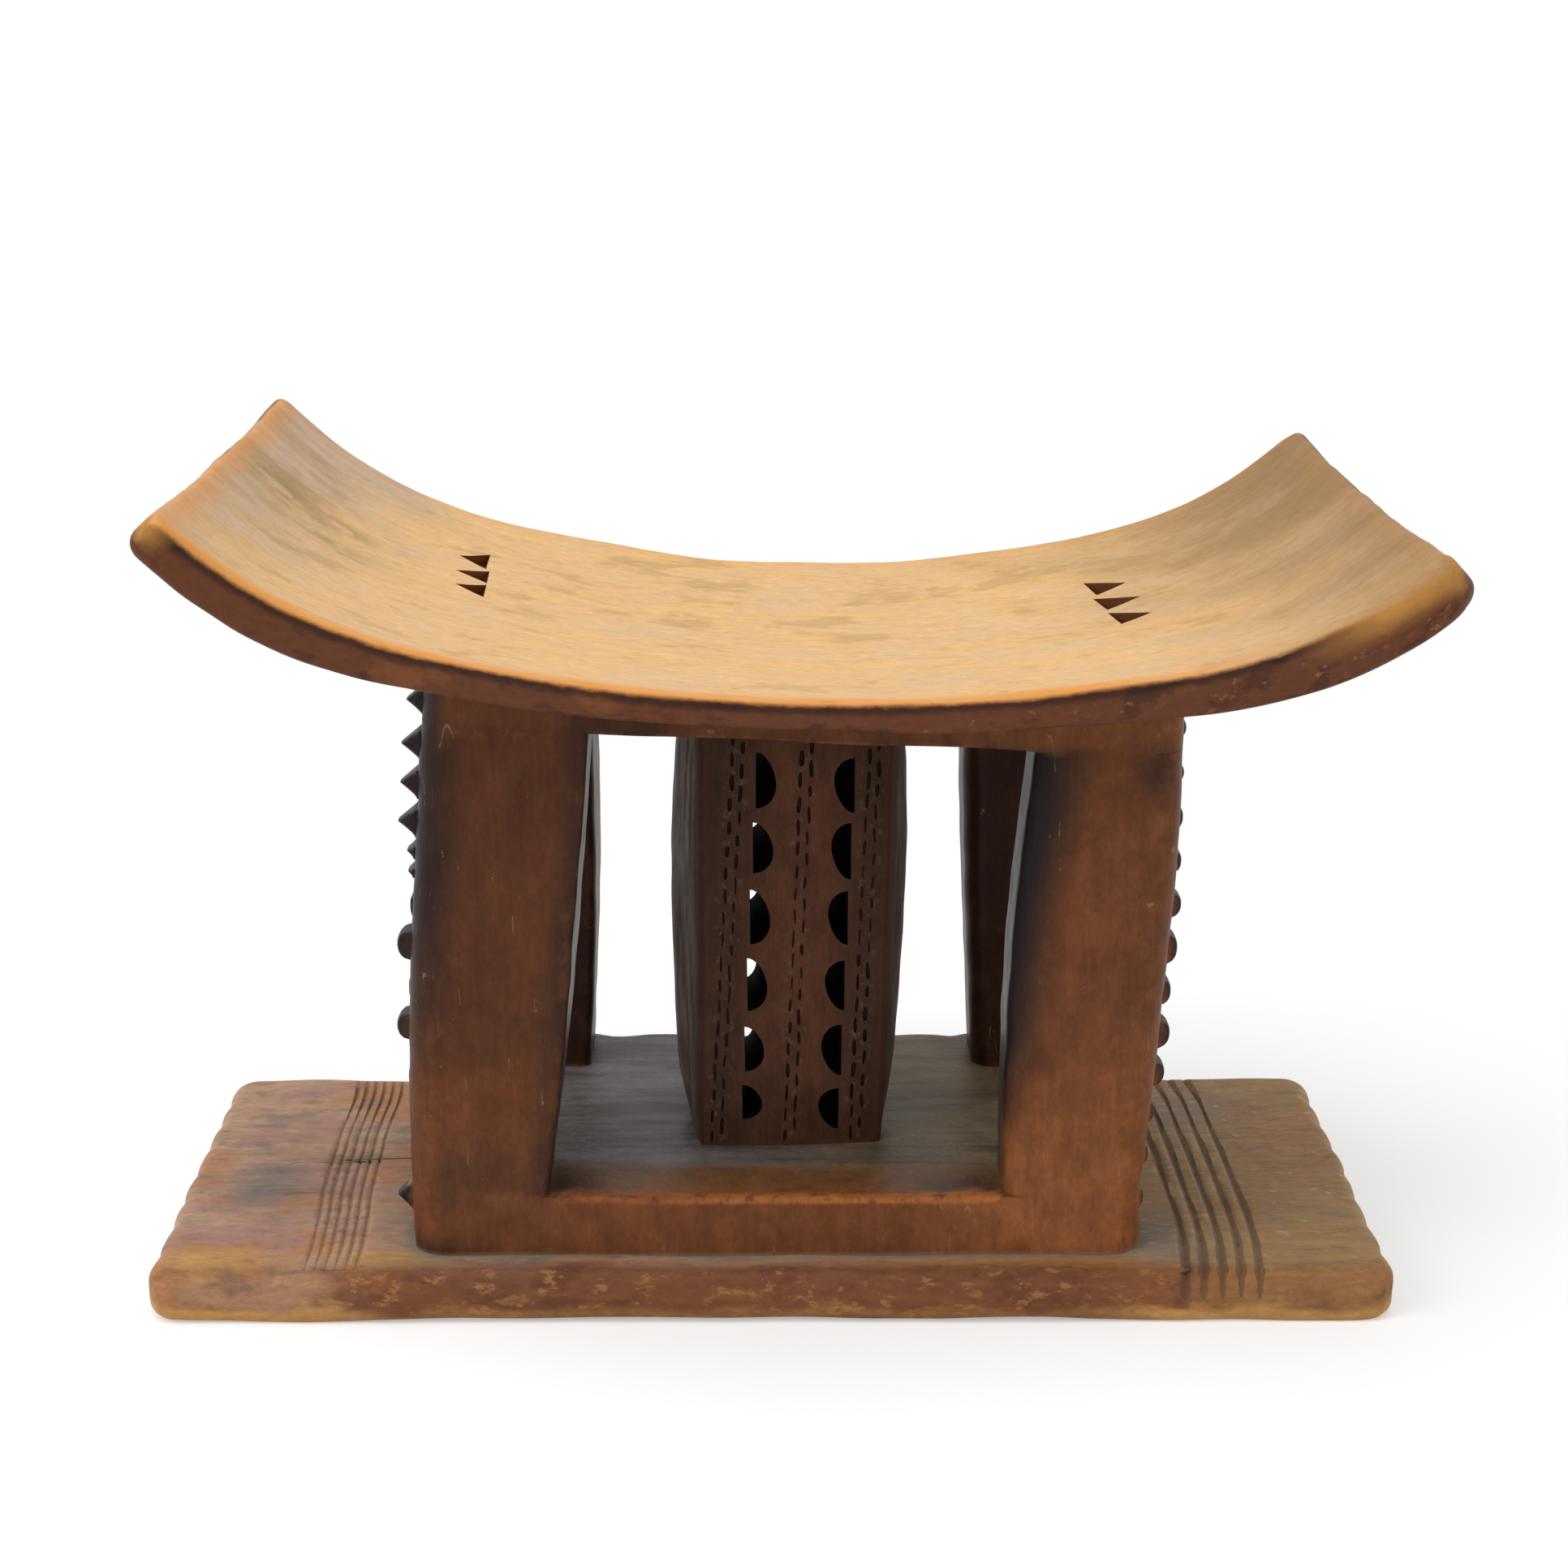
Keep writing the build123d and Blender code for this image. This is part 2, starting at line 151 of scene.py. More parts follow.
class ColumnSizes(bpy.types.PropertyGroup):
    """The pierced column in the middle."""

    x: length("X", "Where it stands", 6.5 * MM)
    y: length("Y", "Where it stands", 3.0 * MM)
    lean: length("Lean", "How far its top stands to the right of its foot", 2.8 * MM)
    turn: angle("Turn", "Turn about its height", 4)
    depth: length("Depth", "Between its flat front and back", 78 * MM)
    face_foot: length("Face at foot", "Width of its flat faces at the foot", 80 * MM)
    face_top: length("Face at top", "Width of its flat faces at the top", 85 * MM)
    edge_radius: length("Edge", "Radius of its upright edges", 2.5 * MM)
    channel_width: length("Channel width", "From a channel's flat side to its round one", 8.4 * MM)
    channel_outer: length("Channel outer", "Flat side from the middle of the pattern", 21.6 * MM)
    channel_flare: amount("Channel flare", "How much wider a channel's mouth is than its inside", 0.07)
    pattern_offset: length("Pattern offset", "Middle of the pattern from the column's own, at the foot", -1.15 * MM)
    pattern_lean: angle("Pattern lean", "Sideways lean of the pattern", 2.4)
    dash_length: length("Dash", "Height of an incised dash", 6.4 * MM)
    dash_width: length("Dash width", "Width of an incised dash", 2.2 * MM)
    dash_pitch: length("Dash pitch", "Distance between dashes up a line", 10.4 * MM)
    dash_pair: length("Dash pair", "Distance between the two lines of a pair", 4.2 * MM)
    dash_side: length("Dash line", "Side pairs of lines, from the middle of the pattern", 29.7 * MM)
    dash_splay: length("Dash splay", "How much further out the left lines stand at the foot", 3.5 * MM)
    dash_depth: length("Dash depth", "Depth of a dash", 0.9 * MM)
    seed: seed(7)


class SeatSizes(bpy.types.PropertyGroup):
    """The curved seat."""

    chord: length("Chord", "Between its top corners", 494.6 * MM)
    depth: length("Depth", "From front to back at its ends", 320 * MM)
    waist: length("Waist", "How far each long edge is drawn in at the middle", 20 * MM)
    middle_radius: length("Middle radius", "Radius of the gentle arc", 660 * MM)
    middle_half: length("Middle half", "Half the length of the gentle arc", 150 * MM)
    end_radius: length("End radius", "Radius of the arc at each end", 205 * MM)
    dish: length("Dish", "Hollow across its depth", 6 * MM)
    x: length("X", "Middle of its rim", 9.6 * MM)
    y: length("Y", "Middle of its rim", -4 * MM)
    z: length("Z", "Middle of its rim", 283.2 * MM)
    tilt: angle("Tilt", "Left end up", 1.95)
    back_fall: angle("Back fall", "Back edge down", 0.15)
    turn: angle("Turn", "Turn about its height", 0.6)
    corner_radius: length("Corner", "Radius of its corners", 8 * MM)
    back_corner_radius: length("Back corner", "Radius of its back right corner", 13 * MM)
    worn_corner_radius: length("Worn corner", "Radius of its worn front right corner", 15 * MM)
    edge_radius: length("Edge", "Radius of its edges", 3.2 * MM)
    end_round: length("End round", "How much rounder its lower edges are at its ends", 3.5 * MM)
    bevel: length("Bevel", "How much rounder its worn front right rim is", 3 * MM)
    left_hollow: length("Left hollow", "How far its left end is drawn in at its middle", 2.6 * MM)
    right_hollow: length("Right hollow", "How far its right end is drawn in at its middle", 4.6 * MM)
    pocket_base: length("Pocket base", "Length of a pocket along the seat's depth", 25 * MM)
    left_length: length("Left length", "From a left pocket's base to its point", 13.8 * MM)
    right_length: length("Right length", "From a right pocket's base to its point", 19 * MM)
    pocket_depth: length("Pocket depth", "Depth of a pocket", 5 * MM)
    left_skew: length("Left skew", "How far a left pocket's front corner is moved to its point", -1.2 * MM)
    right_skew: length("Right skew", "How far a right pocket's front corner is moved to its point", 3.4 * MM)
    pockets: count("Pockets", "Pockets near each end", 3)
    pocket_skew: length("Pocket skew", "How far each stands to the right of the one behind it", 1.7 * MM)
    left_x: length("Left row X", "Left pockets from the seat's middle", -144.6 * MM)
    left_y: length("Left row Y", "Middle of the left row", 39.0 * MM)
    left_pitch: length("Left pitch", "Distance between the left pockets", 27.2 * MM)
    right_x: length("Right row X", "Right pockets from the seat's middle", 146 * MM)
    right_y: length("Right row Y", "Middle of the right row", 19.2 * MM)
    right_pitch: length("Right pitch", "Distance between the right pockets", 30.5 * MM)
    seed: seed(5)


class StageSettings(bpy.types.PropertyGroup):
    """The floor and the light around the stool."""

    floor_length: length("Floor", "Length of the square floor", 12.0)
    shadow_start: length("Shadow start", "Where the floor's shadow starts to fade, from the middle", 0.32)
    shadow_end: length("Shadow end", "Where the floor is plain white", 0.62)
    floor_glow: amount("Floor glow", "White that the floor adds where it is seen", 0.38)
    over_power: amount("Over", "Power of the lamp overhead, in watts", 15.0)
    left_power: amount("Left", "Power of the lamp on the left, in watts", 13.0)
    right_power: amount("Right", "Power of the lamp on the right, in watts", 5.0)
    sky_strength: amount("Sky", "Strength of the light from all around", 0.5)


class WoodColours(bpy.types.PropertyGroup):
    """The colours of the rubbed and darkened wood."""

    seat_top: colour("Seat top", "Rubbed wood in the middle of the seat", 226, 182, 128)
    seat_gold: colour("Seat gold", "Golden clouds in it", 230, 184, 120)
    seat_left: colour("Seat left", "Greyer wood at the left end", 184, 152, 120)
    # Partly patina and partly painted shade: darker, browner wood towards the right end.
    seat_right_patina_and_shade: colour("Seat right", "Browner wood towards the right end", 148, 113, 72)
    seat_pale: colour("Seat pale", "Pale streaks", 208, 184, 156)
    seat_stain: colour("Seat stain", "Olive stains", 158, 128, 78)
    # Partly wear and partly a painted highlight: golden-orange along the seat's rim.
    seat_rim_wear_and_highlight: colour("Seat rim", "Golden-orange wood where hands wear the rim", 226, 150, 68)
    seat_edge: colour("Seat edge", "Faces of the seat's edges", 106, 64, 42)
    seat_edge_dark: colour("Seat edge dark", "Darkest of the seat's edges", 62, 38, 30)
    seat_line: colour("Seat line", "Dark line under the seat's rim", 34, 24, 22)
    seat_speck: colour("Seat speck", "Rubbed specks on the seat's edges", 156, 112, 82)
    seat_bevel: colour("Seat bevel", "Golden wood on the seat's worn corners", 188, 134, 68)
    pocket_dark: colour("Pocket", "Inside of the seat's pockets", 92, 46, 18)
    leg_brown: colour("Leg brown", "Brown of the legs", 86, 51, 31)
    leg_red: colour("Leg red", "Red-brown of the legs", 106, 60, 36)
    # Blue-black patina, also used as painted shade on the support and for the base board's cracks.
    leg_patina_and_shade: colour("Leg dark", "Blue-black patina", 36, 29, 31)
    leg_orange: colour("Leg orange", "Orange-brown where the patina is thin", 152, 94, 54)
    leg_pale: colour("Leg pale", "Chips and scratches on the legs", 164, 140, 116)
    plinth_lip: colour("Plinth lip", "Orange-brown wood on the plinth's worn front edge", 142, 84, 46)
    # Painted highlight: a bright line along the plinth's worn front edge.
    plinth_edge_highlight: colour("Plinth glow", "Bright line along that edge", 214, 130, 66)
    plinth_rust: colour("Plinth rust", "Rust-brown behind that edge", 128, 88, 54)
    # Painted sheen: blue-grey on the left of the plinth's top, where the light falls.
    plinth_painted_sheen: colour("Plinth blue", "Blue-grey sheen on the left of the plinth's top", 146, 139, 138)
    plinth_olive: colour("Plinth olive", "Olive on the right of the plinth's top", 146, 127, 98)
    column_brown: colour("Column brown", "Brown of the column", 71, 49, 38)
    column_red: colour("Column red", "Redder middle of the column", 94, 59, 43)
    # Painted reflection: pale blue-grey sheen on the column's round sides.
    column_flank_reflection: colour("Column flank", "Pale blue-grey of the column's round sides", 138, 130, 123)
    column_chip: colour("Column chip", "Pale chips beside the column's dashes", 124, 104, 84)
    # Painted shade inside the column's dashes.
    dash_painted_shade: colour("Dash brown", "Inside of the column's dashes", 34, 21, 16)
    # Painted shade: near black inside the column's channels, where no light reaches.
    channel_painted_shade: colour("Channel black", "Inside of the column's channels", 6, 5, 4)
    dust: colour("Dust", "Grey dust in corners", 134, 126, 114)
    base_tan: colour("Base tan", "Rubbed top of the base board", 188, 150, 120)
    base_olive: colour("Base olive", "Olive-tan of the base board's right end", 168, 132, 84)
    base_red: colour("Base red", "Orange clouds on the base board", 182, 126, 82)
    base_mauve: colour("Base mauve", "Mauve-pink clouds on the base board", 176, 134, 120)
    base_grey: colour("Base grey", "Grey smudges on the base board", 130, 118, 110)
    base_brown: colour("Base brown", "Brown patches on the base board", 126, 92, 62)
    base_cream: colour("Base cream", "Cream specks on the base board's right end", 208, 186, 150)
    base_groove: colour("Base groove", "Dirt in the base board's lines", 84, 66, 52)
    base_front: colour("Base front", "Red-brown front of the base board", 144, 92, 58)
    base_maroon: colour("Base maroon", "Dark flecks on the base board's front", 96, 56, 40)
    base_ochre: colour("Base ochre", "Golden ochre at the base board's worn edges", 196, 146, 86)


# Teeth down a leg's outer face: height above the floor, how proud, how tall (mm), and whether pointed.
LEFT_TEETH = (
    (42.5, 7.6, 14.5, True),
    (61, 0.9, 9, False),
    (80, 0.9, 9, False),
    (99, 1.0, 8, False),
    (122, 6.2, 11.0, False),
    (140, 0.8, 8, False),
    (159, 6.6, 12.5, False),
    (177, 0.9, 7, False),
    (192, 2.4, 4, True),
    (201, 3.4, 5, True),
    (214, 7.4, 11.5, True),
    (231, 7.6, 11.5, True),
    (248, 8.0, 12.0, True),
    (267, 7.0, 12.0, True),
)
RIGHT_TEETH = (
    (42.0, 1.7, 8, False),
    (62.5, 2.0, 8, False),
    (82.5, 2.4, 8, False),
    (100.0, 4.6, 9.6, False),
    (118.1, 5.2, 10.8, False),
    (137.6, 3.6, 9.6, False),
    (157.2, 4.9, 12.0, False),
    (176.7, 4.9, 9.6, False),
    (196.3, 3.6, 8.6, False),
    (215.8, 3.0, 8.6, False),
    (235.4, 2.5, 6.0, False),
    (254.9, 2.5, 6.7, False),
)

# Widths of each leg at its foot, at half height and at its top, in millimetres
LEG_WIDTHS = {
    ("front", "left"): (60.0, 69.0, 70.0),
    ("front", "right"): (61.5, 68.0, 61.5),
    ("back", "left"): (69.5, 74.5, 70.0),
    ("back", "right"): (64.7, 73.6, 74.8),
}

# Width of the column's bellied sides at rises above the plinth, in millimetres
COLUMN_BELLY = ((0, 86), (20, 95.5), (62, 102.5), (135, 106), (215, 98))

# The column's channels from the lowest up: height of the front mouth above the plinth, height of
# the channel (mm), and slope down towards the back (degrees).
LEFT_CHANNELS = (
    (21.0, 15.9, 8.0),
    (46.3, 20.6, 10.6),
    (76.9, 24.3, 9.3),
    (108.6, 24.3, 4.2),
    (140.7, 22.4, 2.6),
    (172.0, 24.3, -2.5),
)
RIGHT_CHANNELS = (
    (16.7, 18.7, 6.6),
    (44.9, 23.4, 4.0),
    (75.6, 22.4, 3.5),
    (107.3, 24.3, 1.0),
    (138.3, 25.2, -1.5),
    (168.6, 23.4, -2.0),
)

# Thickness of the seat at its left end, half way up the bend and where the end arc starts, at its
# middle, and the same out to its right end, in millimetres
SEAT_THICKNESS = (18.5, 18.5, 15.5, 12.0, 17.5, 22.5, 22.5)


def smooth_step(value):
    value = np.clip(value, 0, 1)
    return value * value * (3 - 2 * value)


def smooth_through(at, places, values):
    """Values on a smooth curve through a few given ones."""
    places, values = np.asarray(places, float), np.asarray(values, float)
    slopes = np.gradient(values, places)
    first = np.clip(np.searchsorted(places, at) - 1, 0, len(places) - 2)
    gap = places[first + 1] - places[first]
    t = (at - places[first]) / gap
    return (
        (1 + 2 * t) * (1 - t) ** 2 * values[first]
        + t * (1 - t) ** 2 * gap * slopes[first]
        + t**2 * (3 - 2 * t) * values[first + 1]
        + t**2 * (t - 1) * gap * slopes[first + 1]
    )


def spaced(low, high, step, rim=0.0, rim_steps=4):
    """Coordinates about a step apart from low to high, and closer over a rim at each end."""
    middle = np.linspace(low + rim, high - rim, max(2, round((high - low - 2 * rim) / step) + 1))
    edge = rim * np.linspace(0, 1, rim_steps + 1)[:-1]
    return np.concatenate([low + edge, middle, high - edge[::-1]]) if rim else middle


def box_shell(xs, ys, zs):
    """Points over the six sides of a box, and its faces, turned outwards."""
    size = (len(xs), len(ys), len(zs))
    outside = np.ones(size, bool)
    outside[1:-1, 1:-1, 1:-1] = False
    index = np.full(size, -1)
    index[outside] = np.arange(outside.sum())
    grid = np.meshgrid(xs, ys, zs, indexing="ij")
    points = np.stack([axis[outside] for axis in grid], axis=1)

    def side(plane, flip):
        corners = [plane[:-1, :-1], plane[1:, :-1], plane[1:, 1:], plane[:-1, 1:]]
        return np.stack([corner.ravel() for corner in (corners[::-1] if flip else corners)], axis=1)

    sides = [
        side(index[:, :, 0], True),
        side(index[:, :, -1], False),
        side(index[0], True),
        side(index[-1], False),
        side(index[:, 0], False),
        side(index[:, -1], True),
    ]
    return points, np.concatenate(sides)


def rounded(points, low, high, corners, top=0.0, bottom=0.0):
    """Rounds a box's upright edges, then its top and bottom rims.

    Corners holds the radii at (left front, left back, right front, right back). Top and bottom are
    one radius or one for each point."""
    low, high = np.asarray(low), np.asarray(high)
    middle, half = (low + high) / 2, (high - low) / 2
    out = points.copy()
    side = np.where(points[:, :2] < middle[:2], -1.0, 1.0)
    radius = np.asarray(corners, float)[(side[:, 0] > 0) * 2 + (side[:, 1] > 0)]
    past = radius[:, None] - (half[:2] - np.abs(points[:, :2] - middle[:2]))
    longest = past.max(axis=1)
    in_corner = (past > 0).all(axis=1)
    diagonal = np.where(in_corner, np.hypot(past[:, 0], past[:, 1]), 1.0)
    turned = past * np.where(in_corner, longest / diagonal, 1.0)[:, None]
    out[:, :2] += side * (turned - past)
    straight = np.stack([past[:, 0] >= past[:, 1], past[:, 0] < past[:, 1]], axis=1).astype(float)
    outward = side * np.where(in_corner[:, None], past / diagonal[:, None], straight)
    inset = radius - longest
    for rim, drop, up in ((top, high[2] - points[:, 2], 1), (bottom, points[:, 2] - low[2], -1)):
        near = np.stack([rim - inset, rim - drop], axis=1)
        in_rim = (near > 0).all(axis=1)
        reach = np.where(in_rim, np.hypot(near[:, 0], near[:, 1]), 1.0)
        moved = near * np.where(in_rim, near.max(axis=1) / reach, 1.0)[:, None] - near
        out[:, :2] += outward * moved[:, :1]
        out[:, 2] += up * moved[:, 1]
    return out


def hand(points, size, depth, seed, waves=14):
    """Uneven shifts of points, as a hand-held tool leaves them, alike wherever members meet."""
    random = np.random.default_rng(seed)
    shift = np.zeros_like(points)
    for _ in range(waves):
        direction = random.normal(size=3)
        direction *= 2 * math.pi / (np.linalg.norm(direction) * size * random.uniform(0.6, 1.7))
        push = random.normal(size=3)
        phase = random.uniform(0, 2 * math.pi)
        shift += np.outer(np.sin(points @ direction + phase), push)
    return shift * depth / math.sqrt(waves)


def uneven(points, size, seed):
    """One smooth random value from about -1 to 1 for each point."""
    return hand(points, size, 1.0, seed)[:, 0]


def worked(points):
    """Points as the adze and then the knife leave them."""
    return points + hand(points, 80 * MM, 0.45 * MM, 1) + hand(points, 24 * MM, 0.16 * MM, 2)


def new_piece(name, points, faces):
    mesh = bpy.data.meshes.new(name)
    mesh.from_pydata(points.tolist(), [], faces.tolist())
    piece = bpy.data.objects.new(name, mesh)
    bpy.context.scene.collection.objects.link(piece)
    return piece


def points_of(mesh):
    flat = np.empty(len(mesh.vertices) * 3)
    mesh.vertices.foreach_get("co", flat)
    return flat.reshape(-1, 3)


def store(mesh, name, values):
    """Keeps one number for each point of a mesh, for its material to read."""
    attribute = mesh.attributes.get(name) or mesh.attributes.new(name, "FLOAT", "POINT")
    attribute.data.foreach_set("value", np.asarray(values, np.float32))


def store_wear(mesh, passes=4):
    """Keeps how far each point stands on a worn edge (wear) or down in a concave corner (concave)."""
    points = points_of(mesh)
    normals = np.empty(len(points) * 3)
    mesh.vertices.foreach_get("normal", normals)
    normals = normals.reshape(-1, 3)
    edges = np.empty(len(mesh.edges) * 2, int)
    mesh.edges.foreach_get("vertices", edges)
    start, end = edges.reshape(-1, 2).T
    run = points[end] - points[start]
    squared = np.maximum((run**2).sum(axis=1), (0.2 * MM) ** 2)
    near = np.maximum(np.bincount(start, minlength=len(points)) + np.bincount(end, minlength=len(points)), 1)

    def gathered(at_start, at_end):
        return (
            np.bincount(start, at_start, len(points)) + np.bincount(end, at_end, len(points))
        ) / near

    bend = gathered(
        -2 * (normals[start] * run).sum(axis=1) / squared, 2 * (normals[end] * run).sum(axis=1) / squared
    )
    bend = np.clip(bend / 200, -1, 1)
    for _ in range(passes):
        bend = (bend + gathered(bend[end], bend[start])) / 2
    store(mesh, "wear", np.clip(bend * 2, 0, 1))
    store(mesh, "dirt", np.clip(-bend * 2, 0, 1))


def tool_tree(operation):
    """Geometry Nodes that join or cut a tool at each of a row of places, as large and as turned as
    the place says."""
    tree = bpy.data.node_groups.new("tools_" + operation.lower(), "GeometryNodeTree")
    for name, kind in (
        ("Geometry", "Geometry"),
        ("Places", "Object"),
        ("Tool", "Object"),
        ("Size", "Vector"),
        ("Unevenness", "Float"),
        ("Seed", "Int"),
        ("Material", "Material"),
    ):
        tree.interface.new_socket(name, in_out="INPUT", socket_type="NodeSocket" + kind)
    tree.interface.new_socket("Geometry", in_out="OUTPUT", socket_type="NodeSocketGeometry")

    def node(kind, settings=(), inputs=()):
        made = tree.nodes.new(kind)
        for key, value in dict(settings).items():
            setattr(made, key, value)
        for key, value in dict(inputs).items():
            if isinstance(value, bpy.types.NodeSocket):
                tree.links.new(value, made.inputs[key])
            else:
                made.inputs[key].default_value = value
        return made

    given = node("NodeGroupInput").outputs
    places = node("GeometryNodeObjectInfo", {}, {"Object": given["Places"]})
    tool = node("GeometryNodeObjectInfo", {}, {"Object": given["Tool"]})
    size = node("GeometryNodeInputNamedAttribute", {"data_type": "FLOAT_VECTOR"}, {"Name": "size"})
    turn = node("GeometryNodeInputNamedAttribute", {"data_type": "FLOAT_VECTOR"}, {"Name": "turn"})
    less = node("ShaderNodeMath", {"operation": "SUBTRACT"}, {0: 1.0, 1: given["Unevenness"]})
    more = node("ShaderNodeMath", {"operation": "ADD"}, {0: 1.0, 1: given["Unevenness"]})
    chance = node(
        "FunctionNodeRandomValue",
        {"data_type": "FLOAT_VECTOR"},
        {"Min": less.outputs[0], "Max": more.outputs[0], "Seed": given["Seed"]},
    )
    scaled = node(
        "ShaderNodeVectorMath", {"operation": "MULTIPLY"}, {0: size.outputs[0], 1: chance.outputs[0]}
    )
    sized = node("ShaderNodeVectorMath", {"operation": "MULTIPLY"}, {0: scaled.outputs[0], 1: given["Size"]})
    rotation = node("FunctionNodeEulerToRotation", {}, {0: turn.outputs[0]})
    instances = node(
        "GeometryNodeInstanceOnPoints",
        {},
        {
            "Points": places.outputs["Geometry"],
            "Instance": tool.outputs["Geometry"],
            "Rotation": rotation.outputs[0],
            "Scale": sized.outputs[0],
        },
    )
    tools = node("GeometryNodeRealizeInstances", {}, {"Geometry": instances.outputs[0]})
    joined = node("GeometryNodeMeshBoolean", {"operation": operation, "solver": "MANIFOLD"})
    if operation == "UNION":
        tree.links.new(given["Geometry"], joined.inputs["Mesh 2"])
    else:
        tree.links.new(given["Geometry"], joined.inputs["Mesh 1"])
    tree.links.new(tools.outputs[0], joined.inputs["Mesh 2"])
    whole = node("GeometryNodeRealizeInstances", {}, {"Geometry": joined.outputs["Mesh"]})
    finished = node(
        "GeometryNodeSetMaterial", {}, {"Geometry": whole.outputs[0], "Material": given["Material"]}
    )
    node("NodeGroupOutput", {}, {"Geometry": finished.outputs[0]})
    return tree


def tool_places(rows):
    """An object with a point for each (position, turn, size) of a row of tools."""
    positions = np.array([row[0] for row in rows], float)
    places = new_piece("tool_places", positions, np.empty((0, 3), int))
    for column, name in ((1, "turn"), (2, "size")):
        values = np.array([row[column] for row in rows], np.float32)
        attribute = places.data.attributes.new(name, "FLOAT_VECTOR", "POINT")
        attribute.data.foreach_set("vector", values.ravel())
    return places


def mark_faces(mesh, name, value):
    """Gives each face of a mesh one number, which it keeps when tools join or cut the mesh."""
    attribute = mesh.attributes.get(name) or mesh.attributes.new(name, "FLOAT", "FACE")
    attribute.data.foreach_set("value", np.full(len(mesh.polygons), value, np.float32))


def use_tools(piece, operation, tool, rows, material, unevenness=0.0, seed=0, mark=""):
    """Joins or cuts a tool into a piece at each row, and leaves the piece a plain mesh.

    The faces that the tool makes get a one under the mark's name, and the others a nought."""
    tree = bpy.data.node_groups.get("tools_" + operation.lower()) or tool_tree(operation)
    if mark:
        mark_faces(tool.data, mark, 1)
        if mark not in piece.data.attributes:
            mark_faces(piece.data, mark, 0)
    places = tool_places(rows)
    modifier = piece.modifiers.new("tools", "NODES")
    modifier.node_group = tree
    values = {
        "Places": places,
        "Tool": tool,
        "Size": (1.0, 1.0, 1.0),
        "Unevenness": unevenness,
        "Seed": seed,
        "Material": material,
    }
    for item in tree.interface.items_tree:
        if item.in_out == "INPUT" and item.name in values:
            modifier[item.identifier] = values[item.name]
    make_plain(piece)
    for helper in (places, tool):
        bpy.data.objects.remove(helper)


def make_plain(piece):
    """Puts the result of a piece's modifiers in its mesh."""
    bpy.context.view_layer.update()
    evaluated = piece.evaluated_get(bpy.context.evaluated_depsgraph_get())
    mesh = bpy.data.meshes.new_from_object(evaluated)
    old = piece.data
    piece.modifiers.clear()
    piece.data = mesh
    bpy.data.meshes.remove(old)
    mesh.name = piece.name


def finish_piece(piece, node, material):
    """Shades a finished piece, and puts it in its CAD node's place."""
    mesh = piece.data
    if not mesh.materials:
        mesh.materials.append(material)
    mesh.shade_smooth()
    mesh.set_sharp_from_angle(angle=math.radians(50))
    store_wear(mesh)
    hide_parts(node)
    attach(piece, BODY)


def leg_curve(foot, middle, top, z):
    """Value at a height, on the curve through its values at the legs' foot, middle and top."""
    t = (z - PLINTH_TOP) / bpy.context.scene.stool_support.leg_height
    return foot * (2 * t - 1) * (t - 1) + middle * 4 * t * (1 - t) + top * t * (2 * t - 1)


def outer_x(side, y, z):
    """X of the support's outer face; side is -1 on the left and 1 on the right."""
    sizes = bpy.context.scene.stool_support
    t = np.maximum((z - PLINTH_TOP) / sizes.leg_height, 0)
    back = (y - SUPPORT_FRONT) / (SUPPORT_BACK - SUPPORT_FRONT)
    lean = sizes.lean_front + (sizes.lean_back - sizes.lean_front) * back
    reach = sizes.length / 2 + sizes.swell * 4 * t * (1 - t)
    return sizes.centre + side * reach + lean * t


def slab_bottom(x):
    """Height of the underside of the block under the seat."""
    sizes = bpy.context.scene.stool_support
    return PLINTH_TOP + sizes.leg_height - (x - sizes.centre) * math.tan(sizes.block_tilt)


def under_legs(x, y):
    """How far inside a leg's footprint a point is; below nought outside it."""
    sizes = bpy.context.scene.stool_support
    front = y < (SUPPORT_FRONT + SUPPORT_BACK) / 2
    left = x < sizes.centre
    width = np.select(
        [front & left, front, left],
        [LEG_WIDTHS["front", "left"][0], LEG_WIDTHS["front", "right"][0], LEG_WIDTHS["back", "left"][0]],
        LEG_WIDTHS["back", "right"][0],
    )
    along = np.abs(x - sizes.centre) - (sizes.length / 2 - width * MM)
    across = np.where(front, SUPPORT_FRONT + sizes.leg_depth - y, y - SUPPORT_BACK + sizes.leg_depth)
    return np.minimum(along, across)


def tooth(power, fullness):
    """A tooth that stands out along X, one unit each way; a power of one makes it a point."""
    across = np.linspace(-0.5, 0.5, 13)
    points, faces = box_shell(np.array([-0.6, 0.0]), across, across)
    dome = (1 - np.abs(points[:, 2] * 2) ** power) * (1 - np.abs(points[:, 1] * 2) ** 4)
    dome = np.maximum(dome, 0) ** (1 / fullness)
    points[:, 0] = np.where(points[:, 0] > -0.1, dome, points[:, 0])
    return new_piece("tooth", points, faces)


def cut_teeth(piece, side, y, low, high, material):
    """Joins to a piece the teeth of one leg's row that lie from one height to another."""
    sizes = bpy.context.scene.stool_support
    teeth = LEFT_TEETH if side < 0 else RIGHT_TEETH
    turn = math.pi if side < 0 else 0.0
    for pointed in (False, True):
        rows = []
        for height, proud, tall, is_point in teeth:
            z = height * MM
            if is_point == pointed and low <= z < high:
                place = (outer_x(side, y, z), y, z)
                rows.append((place, (0, 0, turn), (proud * MM, sizes.tooth_width, tall * MM)))
        if rows:
            tool = tooth(1.0, 1.05) if pointed else tooth(2.4, 2.4)
            use_tools(piece, "UNION", tool, rows, material, sizes.tooth_unevenness, sizes.seed)


def spot(points, centre, reach):
    """Soft spot that fades from one at its centre; centre and reach in millimetres, X, Y and Z."""
    away = (points - np.array(centre) * MM) / (np.array(reach) * MM)
    return np.exp(-(away**2).sum(axis=1))


def between(values, low, high, fade):
    """One where values lie from low to high, fading out over a fade beyond."""
    return smooth_step((values - low) / fade + 1) * smooth_step((high - values) / fade + 1)


